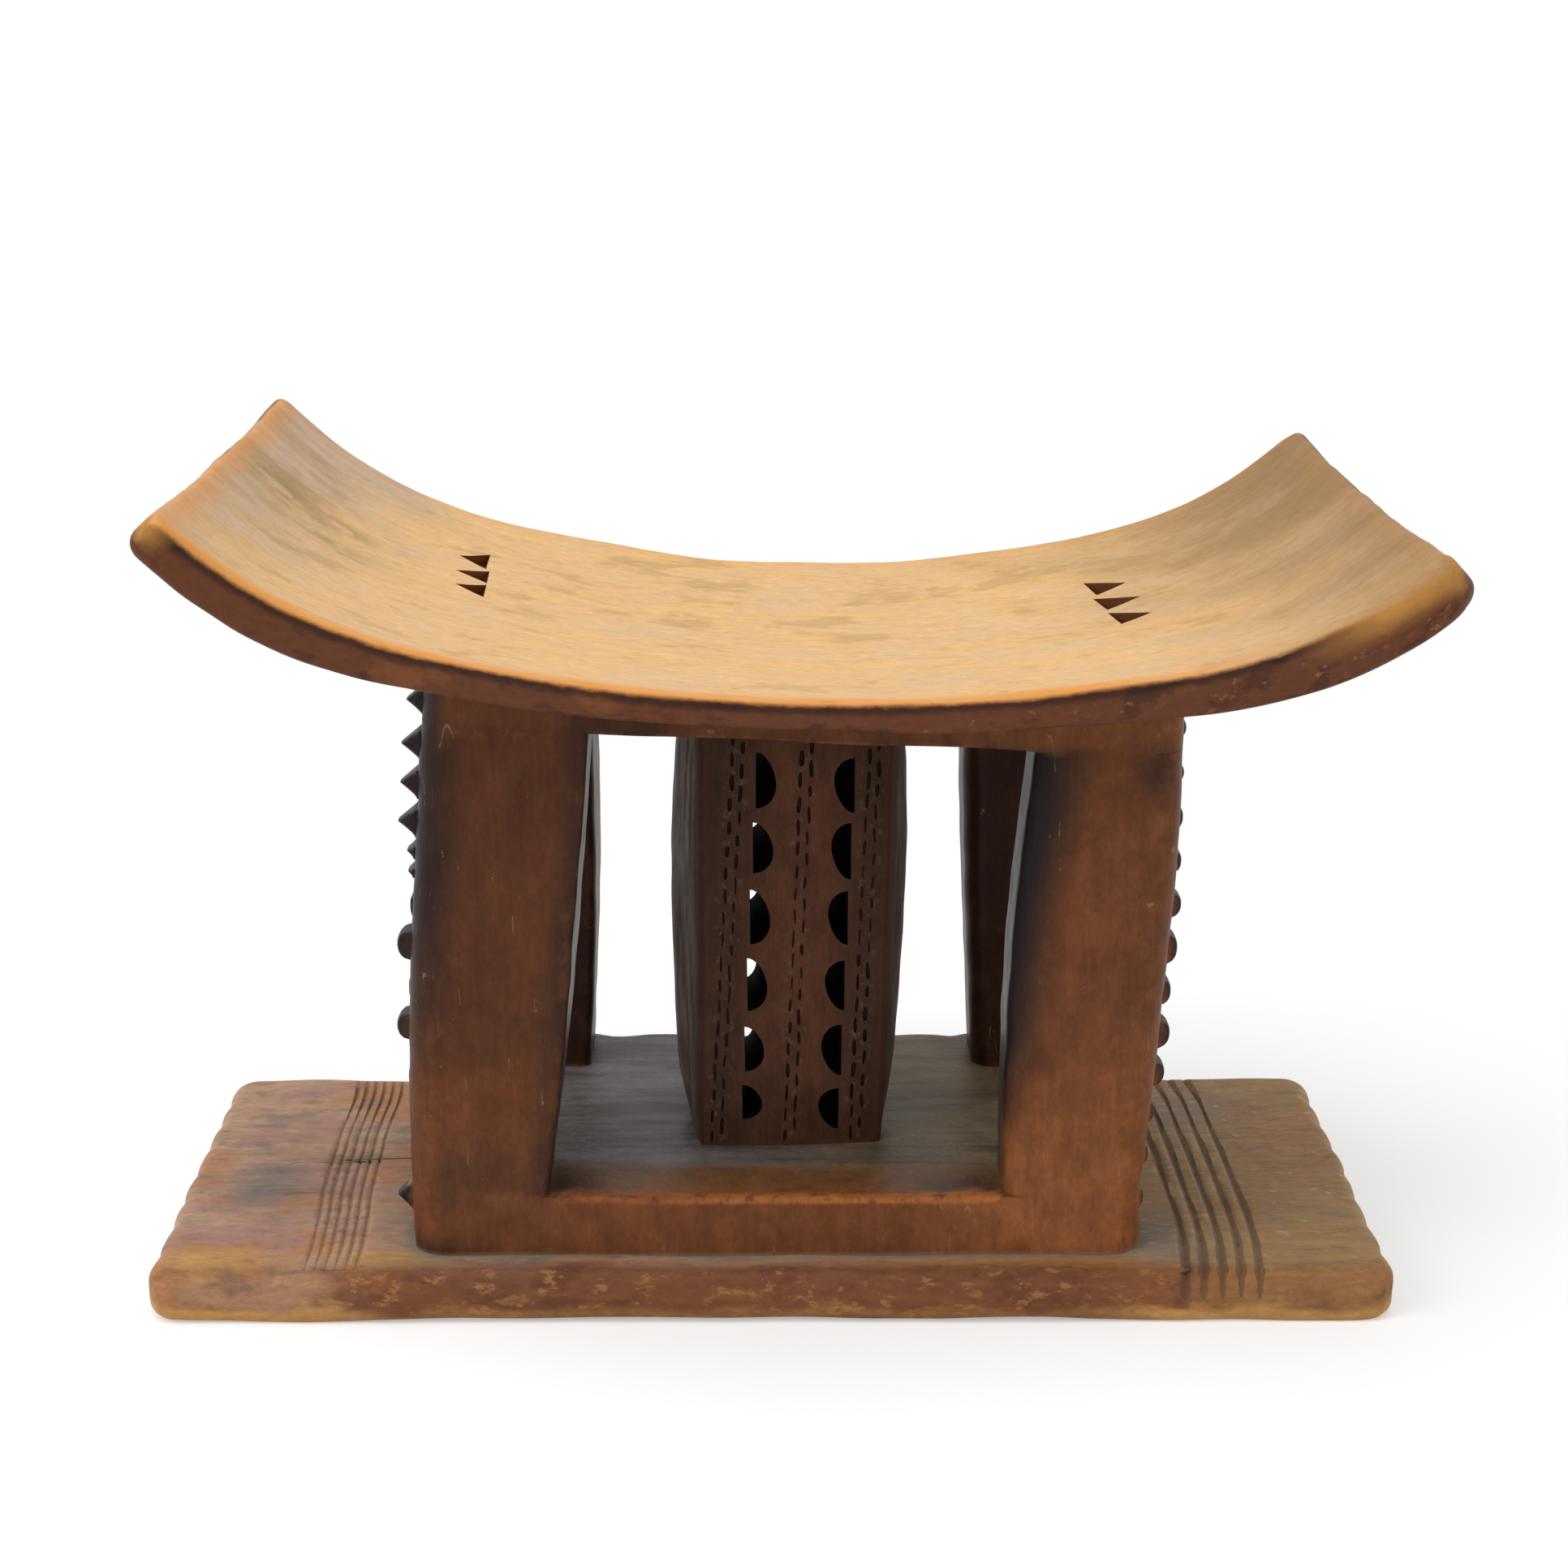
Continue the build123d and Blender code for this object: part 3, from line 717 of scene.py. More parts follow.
def leg_inner_x(end, hand_side, z):
    """X of a leg's inner face."""
    sizes = bpy.context.scene.stool_support
    side = -1 if hand_side == "left" else 1
    place_y = SUPPORT_FRONT if end == "front" else SUPPORT_BACK
    widths = [value * MM for value in LEG_WIDTHS[end, hand_side]]
    return outer_x(side, place_y, z) - side * leg_curve(*widths, z)


def store_patina_and_shade(mesh):
    """Keeps where the support's patina is dark or thin, where shade is painted dark on it, and where dust lies on
    it.
    """
    points = points_of(mesh)
    x, y, z = points.T
    normals = np.empty(len(points) * 3)
    mesh.vertices.foreach_get("normal", normals)
    normals = normals.reshape(-1, 3)
    in_front = smooth_step((SUPPORT_FRONT + 30 * MM - y) / (12 * MM))
    from_left = x - outer_x(-1, y, z)
    into_right = x - leg_inner_x("front", "right", z)
    from_right = outer_x(1, y, z) - x
    wander = 1 + 0.35 * uneven(points, 50 * MM, 21)
    left_band = smooth_step(1.25 - from_left / (19 * MM * wander)) * smooth_step((z - 0.09) / 0.09)
    # Painted shade: a dark band over the right front leg's rounded inner edge and the inner face beside it.
    band_width = np.interp(z, (0.09, 0.25), (-2 * MM, 7 * MM)) * wander
    right_band = between(into_right, -0.02, band_width, 21 * MM) * smooth_step((z - 0.055) / 0.07)
    right_band *= smooth_step((slab_bottom(x) - z) / (5 * MM) + 0.6)
    in_block = smooth_step((z - slab_bottom(x)) / (5 * MM))
    # Painted shade on and beside the left front leg's inner face, towards the window between the legs.
    left_inner = between(leg_inner_x("front", "left", z) - x, -0.03, 0.004, 9 * MM) * (z > PLINTH_TOP)
    above_plinth = smooth_step((z - PLINTH_TOP) / (2 * MM) + 0.3)
    dark = in_front * (0.85 * left_band + right_band * above_plinth + 0.5 * left_inner)
    # Painted shade: faces of the front part that turn away from the front are darker, except near the right outer
    # face.
    facing_front = smooth_step(-normals[:, 1] * 1.6)
    dark += (1 - facing_front) * in_front * above_plinth * 0.5 * (from_right > 10 * MM)
    # Painted shade: the back legs are darker, their front faces most, as they stand in shade behind the front ones.
    facing_back = smooth_step(normals[:, 1] * 1.6)
    dark += (0.65 - 0.4 * facing_back) * (1 - in_front) * above_plinth
    # Painted shade: the teeth are made near black, as they stand in shade on the side faces.
    proud = np.maximum(-from_left, -from_right)
    on_teeth = smooth_step((proud - 0.4 * MM) / (1.0 * MM))
    dark += 1.4 * on_teeth
    dark += 0.6 * spot(points, (161, -93, 241), (9, 40, 10))
    dark += 0.45 * spot(points, (-128, -93, 60), (30, 40, 16))
    dark += 0.6 * spot(points, (-148, -93, 24), (22, 40, 9))
    flat_top = smooth_step((normals[:, 2] - 0.5) * 3) * (np.abs(z - PLINTH_TOP) < 3 * MM)
    behind = y - SUPPORT_FRONT
    worn_lip = smooth_step(1.3 - behind / (9 * MM * wander))
    # Painted shade on the plinth's top about the feet of the legs and the column; it also lessens the sheen and
    # rust there.
    foot_shade = spot(points, (-92, -84, 50), (18, 18, 30)) + spot(points, (84, -84, 50), (22, 14, 30))
    foot_shade += 0.7 * spot(points, (58, -44, 50), (22, 22, 30)) + 0.5 * spot(points, (10, -48, 50), (40, 10, 30))
    dark = dark * (1 - flat_top) + flat_top * (0.6 - 0.3 * worn_lip + 0.6 * foot_shade)
    low_down = smooth_step((0.15 - z) / 0.12)
    right_leg = smooth_step((x - 60 * MM) / (50 * MM))
    thin = in_front * (0.34 * low_down + 0.26 * right_leg + 0.2 * right_leg * low_down + 0.2 * in_block)
    lip = flat_top * worn_lip + 0.4 * facing_front * between(z, PLINTH_TOP - 2 * MM, PLINTH_TOP, 2 * MM)
    foot = smooth_step(1 - (z - base_high.z) / (2.2 * MM))
    dust = 0.75 * foot * (z > base_high.z - 2 * MM)
    store(mesh, "dark", np.clip(dark, 0, 1))
    store(mesh, "thin", np.clip(thin, 0, 1))
    store(mesh, "dust", np.clip(dust, 0, 1))
    store(mesh, "lip", np.clip(lip, 0, 1) * (under_legs(x, y) < 0))
    store(mesh, "flat", flat_top * smooth_step((behind - 12 * MM) / (26 * MM)) * (1 - 0.6 * foot_shade))
    store(mesh, "rust", flat_top * between(behind, 8 * MM, 26 * MM, 14 * MM) * (1 - 0.7 * foot_shade))


class Link:
    """A value that a node gives, with Python's operators adding the Math node that each needs."""

    def __init__(self, finish, socket):
        self.finish = finish
        self.socket = socket

    def math(self, operation, first, second):
        return self.finish.node("Math", {"operation": operation}, {0: first, 1: second})

    def __add__(self, other):
        return self.math("ADD", self, other)

    def __sub__(self, other):
        return self.math("SUBTRACT", self, other)

    def __rsub__(self, other):
        return self.math("SUBTRACT", other, self)

    def __mul__(self, other):
        return self.math("MULTIPLY", self, other)

    def __truediv__(self, other):
        return self.math("DIVIDE", self, other)

    def __rtruediv__(self, other):
        return self.math("DIVIDE", other, self)

    def __pow__(self, other):
        return self.math("POWER", self, other)

    def __neg__(self):
        return self * -1.0

    __radd__ = __add__
    __rmul__ = __mul__

    def rising(self, low, high):
        """Nought below low and one above high, with a smooth step between; falls if high is lower."""
        settings = {"interpolation_type": "SMOOTHSTEP"}
        return self.finish.node("MapRange", settings, {0: self, 1: low, 2: high, 3: 0.0, 4: 1.0})

    def clipped(self):
        return self.finish.node("Math", {"operation": "ADD", "use_clamp": True}, {0: self, 1: 0.0})

    def size(self):
        return self.math("ABSOLUTE", self, 0.0)


class Finish:
    """A wood's material, while its nodes are being added."""

    def __init__(self, name):
        self.material = bpy.data.materials.new(name)
        self.material.use_nodes = True
        self.tree = self.material.node_tree
        self.tree.nodes.clear()
        self.place = self.node("TexCoord", {}, {}, "Object")

    def node(self, kind, settings, inputs, output=0):
        """Adds a node, its settings first, then its inputs' values or links, and gives an output."""
        made = self.tree.nodes.new("ShaderNode" + kind)
        for key, value in settings.items():
            setattr(made, key, value)
        for key, value in inputs.items():
            if isinstance(value, Link):
                self.tree.links.new(value.socket, made.inputs[key])
            else:
                made.inputs[key].default_value = value
        return Link(self, made.outputs[output])

    def stored(self, name):
        return self.node("Attribute", {"attribute_name": name}, {}, "Fac")

    def stretched(self, place, stretch, shift=0.0):
        inputs = {0: place, 1: tuple(stretch), 2: (shift, shift * 0.7, shift * 1.3)}
        return self.node("VectorMath", {"operation": "MULTIPLY_ADD"}, inputs)

    def noise(self, size, stretch=(1, 1, 1), shift=0.0, detail=3.0, rough=0.55, place=None):
        """Noise whose blotches are about a size in millimetres, drawn out where stretch is small."""
        spread = self.stretched(place or self.place, [part / (size * MM) for part in stretch], shift)
        inputs = {"Vector": spread, "Scale": 1.0, "Detail": detail, "Roughness": rough}
        return self.node("TexNoise", {}, inputs)

    def mix(self, factor, first, second, blend="MIX"):
        """Mixes two colours."""
        settings = {"data_type": "RGBA", "blend_type": blend, "clamp_factor": True}
        pair = [part if isinstance(part, Link) else (*part, 1.0) for part in (first, second)]
        return self.node("Mix", settings, {0: factor, 6: pair[0], 7: pair[1]}, 2)

    def tinted(self, colour, value, depth):
        """A colour made darker and lighter by a value about one half."""
        level = (value - 0.5) * (2 * depth) + 1.0
        return self.node("VectorMath", {"operation": "SCALE"}, {0: colour, 3: level})

    def done(self, colour, roughness, height, specular=0.5, bump=1.0):
        """Ends in the shader. Height is in millimetres."""
        normal = self.node("Bump", {}, {"Height": height, "Distance": MM, "Strength": bump})
        inputs = {
            "Base Color": colour,
            "Roughness": roughness,
            "Normal": normal,
            "Specular IOR Level": specular,
        }
        shader = self.node("BsdfPrincipled", {}, inputs)
        self.shown(shader)
        return self.material

    def shown(self, shader):
        end = self.tree.nodes.new("ShaderNodeOutputMaterial")
        self.tree.links.new(shader.socket, end.inputs["Surface"])


def cracks(finish, size, stretch, width, shift=0.0, place=None):
    """Thin dark lines, as drying cracks and pores leave them."""
    wave = finish.noise(size, stretch, shift, 2.0, 0.5, place)
    return (wave - 0.5).size().rising(width, width * 0.3)


def base_material():
    """Rubbed brown board: tan and olive on top, red and flecked in front, gold at its low edge."""
    colours = bpy.context.scene.stool_colours
    finish = Finish("base_wood")
    grain = finish.noise(5, (0.14, 1, 1), 3.0, 5.0, 0.62)
    fine = finish.noise(2.6, (0.5, 1, 1), 9.0, 3.0, 0.65)
    cloud = finish.noise(46, (0.6, 1, 1), 2.0, 3.0, 0.6)
    patch = finish.noise(30, (0.6, 1, 1), 13.0, 3.0, 0.6)
    blotch = finish.noise(17, (0.6, 1, 1), 7.0, 4.0, 0.65)
    fleck = finish.noise(6.5, (0.5, 1, 1), 5.0, 4.0, 0.7)
    right, front, low = finish.stored("right"), finish.stored("front"), finish.stored("low")
    top = finish.mix(right, colours.base_tan, colours.base_olive)
    top = finish.mix(cloud.rising(0.46, 0.58) * (0.85 - right * 0.5), top, colours.base_red)
    top = finish.mix(patch.rising(0.5, 0.6) * (0.8 - right * 0.76), top, colours.base_mauve)
    top = finish.mix(finish.stored("ochre") * (0.4 + cloud * 0.8), top, colours.base_ochre)
    top = finish.mix(blotch.rising(0.54, 0.66) * (0.6 - right * 0.2), top, colours.base_grey)
    top = finish.mix(blotch.rising(0.43, 0.32) * 0.5, top, colours.base_brown)
    top = finish.mix((finish.stored("smudge") * (0.5 + blotch)).clipped(), top, colours.base_grey)
    top = finish.mix(fleck.rising(0.6, 0.68) * right * 0.5, top, colours.base_cream)
    red = finish.mix(finish.stored("middle") * 0.45, colours.base_front, colours.base_maroon)
    red = finish.mix(blotch.rising(0.48, 0.62) * 0.5, red, colours.base_maroon)
    red = finish.mix(fleck.rising(0.46, 0.36) * (0.1 + blotch * 0.6), red, colours.base_ochre)
    ragged = front + (blotch - 0.5) * 3 * front * (1 - front)
    wood = finish.mix(ragged.clipped(), top, red)
    gold = low * (1 - finish.stored("middle") * 0.75) * (0.7 + blotch) + (fleck - 0.5) * 1.2 * low
    wood = finish.mix(gold.clipped(), wood, colours.base_ochre)
    dust = finish.stored("dust")
    wood = finish.mix((dust * (0.5 + blotch)).clipped() * 0.85, wood, colours.dust)
    wood = finish.tinted(wood, grain, 0.34)
    wood = finish.tinted(wood, fine, 0.32)
    # Groove colour in the lines, and a little where the surface is concave.
    groove = finish.stored("line") * (right * 0.3 + 0.2) + finish.stored("dirt") * 0.1
    wood = finish.mix((groove * (0.6 + blotch * 0.8)).clipped(), wood, colours.base_groove)
    crack = cracks(finish, 16, (0.16, 1, 1), 0.012, 4.0) * finish.stored("crack")
    wood = finish.mix(crack, wood, colours.leg_patina_and_shade)
    height = grain * 0.25 + fine * 0.15 + fleck * 0.3 - crack * 0.5
    roughness = 0.5 + (blotch - 0.5) * 0.3 + dust * 0.25
    return finish.done(wood, roughness.clipped(), height, 0.12)


def support_material():
    """Dark red-brown patina, near black on handled edges and in painted shade, orange where it is thin; painted
    sheen and edge highlight on the plinth's top.
    """
    if "support_wood" in bpy.data.materials:
        return bpy.data.materials["support_wood"]
    colours = bpy.context.scene.stool_colours
    finish = Finish("support_wood")
    grain = finish.noise(3.4, (1, 1, 0.09), 3.0, 4.0, 0.6)
    fine = finish.noise(2.0, (1, 1, 0.5), 8.0, 3.0, 0.65)
    cloud = finish.noise(38, (1, 1, 0.6), 2.0, 3.0, 0.6)
    blotch = finish.noise(11, (1, 1, 0.7), 6.0, 4.0, 0.65)
    speck = finish.noise(6, (1, 1, 0.7), 5.0, 4.0, 0.7)
    sheen = finish.noise(10, (0.12, 1, 1), 12.0, 4.0, 0.6)
    dark, thin, dust = finish.stored("dark"), finish.stored("thin"), finish.stored("dust")
    wear, dirt, lip = finish.stored("wear"), finish.stored("dirt"), finish.stored("lip")
    wood = finish.mix(cloud.rising(0.36, 0.66) * 0.7, colours.leg_brown, colours.leg_red)
    wood = finish.mix((thin + (blotch - 0.5) * 1.1 * thin).clipped(), wood, colours.leg_orange)
    # The dark mask: blue-black patina together with painted shade.
    gloom = (dark + (blotch - 0.5) * 0.3 * dark + (cloud - 0.5) * 0.3 * dark).clipped()
    wood = finish.mix(gloom, wood, colours.leg_patina_and_shade)
    across = finish.node("SeparateXYZ", {}, {0: finish.place})
    # Plinth's top: painted blue-grey sheen on the left, olive wood on the right.
    top = finish.mix(across.rising(-0.03, 0.05), colours.plinth_painted_sheen, colours.plinth_olive)
    wood = finish.mix(finish.stored("flat") * (sheen.rising(0.36, 0.6) * 0.5 + 0.45), wood, top)
    rust = finish.stored("rust") * (0.45 + blotch * 1.1)
    wood = finish.mix(rust.clipped(), wood, colours.plinth_rust)
    ragged = (lip + (speck - 0.5) * 3.5 * lip).clipped() * (blotch.rising(0.34, 0.52) * 0.8 + 0.2)
    wood = finish.mix(ragged, wood, colours.plinth_lip)
    wood = finish.tinted(wood, blotch, 0.4)
    wood = finish.tinted(wood, grain, 0.25)
    wood = finish.tinted(wood, fine, 0.28)
    # Painted highlight: a bright broken line on the plinth's worn front edge, from the middle to the right.
    glow = (wear * lip * 3.0).clipped() * across.rising(-0.1, 0.0) * speck.rising(0.36, 0.52)
    wood = finish.mix(glow * 0.4, wood, colours.plinth_edge_highlight)
    wood = finish.mix((dust * (0.5 + blotch)).clipped() * 0.75, wood, colours.dust)
    bare = wear * blotch.rising(0.45, 0.62) * 0.35 * (1 - dark)
    wood = finish.mix(bare.clipped(), wood, colours.leg_orange)
    # Darker where the surface is concave.
    wood = finish.mix((dirt * 1.3).clipped() * 0.8, wood, colours.leg_patina_and_shade)
    wood = finish.mix(speck.rising(0.66, 0.74) * 0.45, wood, colours.leg_pale)
    scratch = cracks(finish, 22, (1, 1, 0.12), 0.0035, 14.0) * blotch.rising(0.56, 0.62)
    wood = finish.mix(scratch * 0.4, wood, colours.leg_pale)
    height = blotch * 0.18 + grain * 0.14 + fine * 0.12
    roughness = 0.44 + (blotch - 0.5) * 0.25 + dust * 0.2 - dark * 0.06
    return finish.done(wood, roughness.clipped(), height, 0.1)


def column_material():
    """Dark brown column, with a painted blue-grey reflection on its round sides and painted black shade inside its
    channels.
    """
    colours = bpy.context.scene.stool_colours
    finish = Finish("column_wood")
    grain = finish.noise(2.6, (1, 1, 0.05), 3.0, 4.0, 0.6)
    fine = finish.noise(1.1, (1, 1, 0.3), 8.0, 3.0, 0.65)
    blotch = finish.noise(12, (1, 1, 0.7), 6.0, 4.0, 0.62)
    speck = finish.noise(3.2, (1, 1, 0.7), 11.0, 3.0, 0.65)
    middle, inside, flank = finish.stored("middle"), finish.stored("channel"), finish.stored("flank")
    dirt, wear = finish.stored("dirt"), finish.stored("wear")
    wood = finish.mix(middle * (0.4 + blotch), colours.column_brown, colours.column_red)
    # Painted reflection: pale streaks on the round sides.
    streaks = (flank * (grain.rising(0.34, 0.6) * 0.8 + 0.3)).clipped()
    wood = finish.mix(streaks, wood, colours.column_flank_reflection)
    wood = finish.tinted(wood, blotch, 0.5)
    wood = finish.tinted(wood, grain, 0.3)
    wood = finish.tinted(wood, fine, 0.3)
    wood = finish.mix(finish.stored("chipped") * speck.rising(0.54, 0.7) * 0.4, wood, colours.column_chip)
    # Darker where the surface is concave.
    wood = finish.mix((dirt * 1.2).clipped() * 0.4, wood, colours.channel_painted_shade)
    wood = finish.mix(wear * 0.3, wood, colours.column_red)
    # Painted shade: the dashes' faces are made dark brown.
    wood = finish.mix(finish.stored("dash") * 0.8, wood, colours.dash_painted_shade)
    # Painted shade: the channels' inside is made near black.
    wood = finish.mix(inside, wood, colours.channel_painted_shade)
    height = blotch * 0.12 + grain * 0.2 + fine * 0.12
    roughness = 0.45 + (blotch - 0.5) * 0.25 + inside * 0.5
    return finish.done(wood, roughness.clipped(), height, 0.05)


def seat_material():
    """Pale rubbed wood on top, orange at the handled rim, partly wear and partly a painted highlight, and dark
    red-brown on the edges.
    """
    colours = bpy.context.scene.stool_colours
    finish = Finish("seat_wood")
    along, across, deep = finish.stored("along"), finish.stored("across"), finish.stored("deep")
    flow = finish.node("CombineXYZ", {}, {0: along, 1: across * 0.16, 2: deep})
    grain = finish.noise(3.4, (0.2, 1, 1), 3.0, 4.0, 0.6, flow)
    fine = finish.noise(2.5, (0.5, 1, 1), 7.0, 3.0, 0.65, flow)
    streak = finish.noise(9, (0.12, 1, 1), 5.0, 3.0, 0.6, flow)
    bands = finish.noise(24, (0.12, 1, 1), 15.0, 4.0, 0.55, flow)
    cloud = finish.noise(50, (0.7, 1, 1), 2.0, 4.0, 0.6, flow)
    patch = finish.noise(26, (0.7, 1, 1), 18.0, 4.0, 0.6, flow)
    blotch = finish.noise(13, (0.6, 1, 1), 6.0, 4.0, 0.65, flow)
    speck = finish.noise(5.0, (0.7, 1, 1), 9.0, 4.0, 0.7, flow)
    rim, worn_rim = finish.stored("rim"), finish.stored("worn_rim")
    left_end, right_end = finish.stored("left_end"), finish.stored("right_end")
    wood = finish.mix(cloud.rising(0.42, 0.6) * 0.8, colours.seat_top, colours.seat_gold)
    # Towards the right end: partly patina, partly painted shade.
    wood = finish.mix(right_end, wood, colours.seat_right_patina_and_shade)
    wood = finish.mix(left_end, wood, colours.seat_left)
    wood = finish.mix(left_end * bands.rising(0.47, 0.6) * 0.5, wood, colours.seat_pale)
    wood = finish.mix(patch.rising(0.5, 0.64) * 0.3 * (1 - right_end * 0.7), wood, colours.seat_pale)
    wood = finish.mix(patch.rising(0.46, 0.34) * 0.35, wood, colours.seat_stain)
    wood = finish.mix(blotch.rising(0.42, 0.3) * 0.2, wood, colours.seat_stain)
    wood = finish.mix(finish.stored("stain") * blotch.rising(0.36, 0.56), wood, colours.seat_stain)
    wood = finish.tinted(wood, streak, 0.08)
    wood = finish.tinted(wood, speck, 0.16)
    wood = finish.tinted(wood, grain, 0.13)
    wood = finish.tinted(wood, fine, 0.2)
    hair = cracks(finish, 12, (0.08, 1, 1), 0.004, 1.0, flow) * blotch.rising(0.58, 0.66)
    wood = finish.mix(hair * 0.35, wood, colours.seat_edge)
    below = rim * 1000.0
    wander = (patch - 0.5) * 14.0 + (speck - 0.5) * 6.0
    # Golden-orange band along the rim: partly wear, partly a painted highlight.
    band = (below + wander).rising(-17.0, -4.0) * worn_rim * (0.35 + blotch * 1.2)
    wood = finish.mix(band.clipped() * 0.92, wood, colours.seat_rim_wear_and_highlight)
    edge = finish.mix(cloud.rising(0.44, 0.6) * 0.5, colours.seat_edge, colours.leg_red)
    edge = finish.mix(blotch.rising(0.5, 0.64) * 0.7, edge, colours.seat_edge_dark)
    edge = finish.mix(patch.rising(0.46, 0.36) * 0.35, edge, colours.leg_orange)
    chips = speck.rising(0.4, 0.31) * finish.stored("right_half")
    edge = finish.mix(chips * 0.6, edge, colours.seat_speck)
    edge = finish.tinted(edge, blotch, 0.35)
    edge = finish.tinted(edge, fine, 0.25)
    ragged = below + (speck - 0.5) * 3.0
    golden = (finish.stored("golden") * (0.4 + blotch * 1.2)).clipped()
    line = ragged.rising(1.2, 2.6) * ragged.rising(6.5, 3.0) * (1 - golden)
    edge = finish.mix(line * 0.7, edge, colours.seat_line)
    edge = finish.mix(golden, edge, colours.seat_bevel)
    past = ragged.rising(-1.2, 2.4)
    wood = finish.mix(past, wood, edge)
    pocket = finish.stored("pocket")
    # Darker where the surface is concave.
    wood = finish.mix(finish.stored("dirt").rising(0.1, 0.6) * 0.5, wood, colours.pocket_dark)
    wood = finish.mix(pocket * 0.96, wood, colours.pocket_dark)
    height = grain * 0.12 + fine * 0.1 + streak * 0.1 + past * speck * 0.5 - hair * 0.3
    roughness = 0.55 + (blotch - 0.5) * 0.2 - past * 0.06
    return finish.done(wood, roughness.clipped(), height, 0.12)


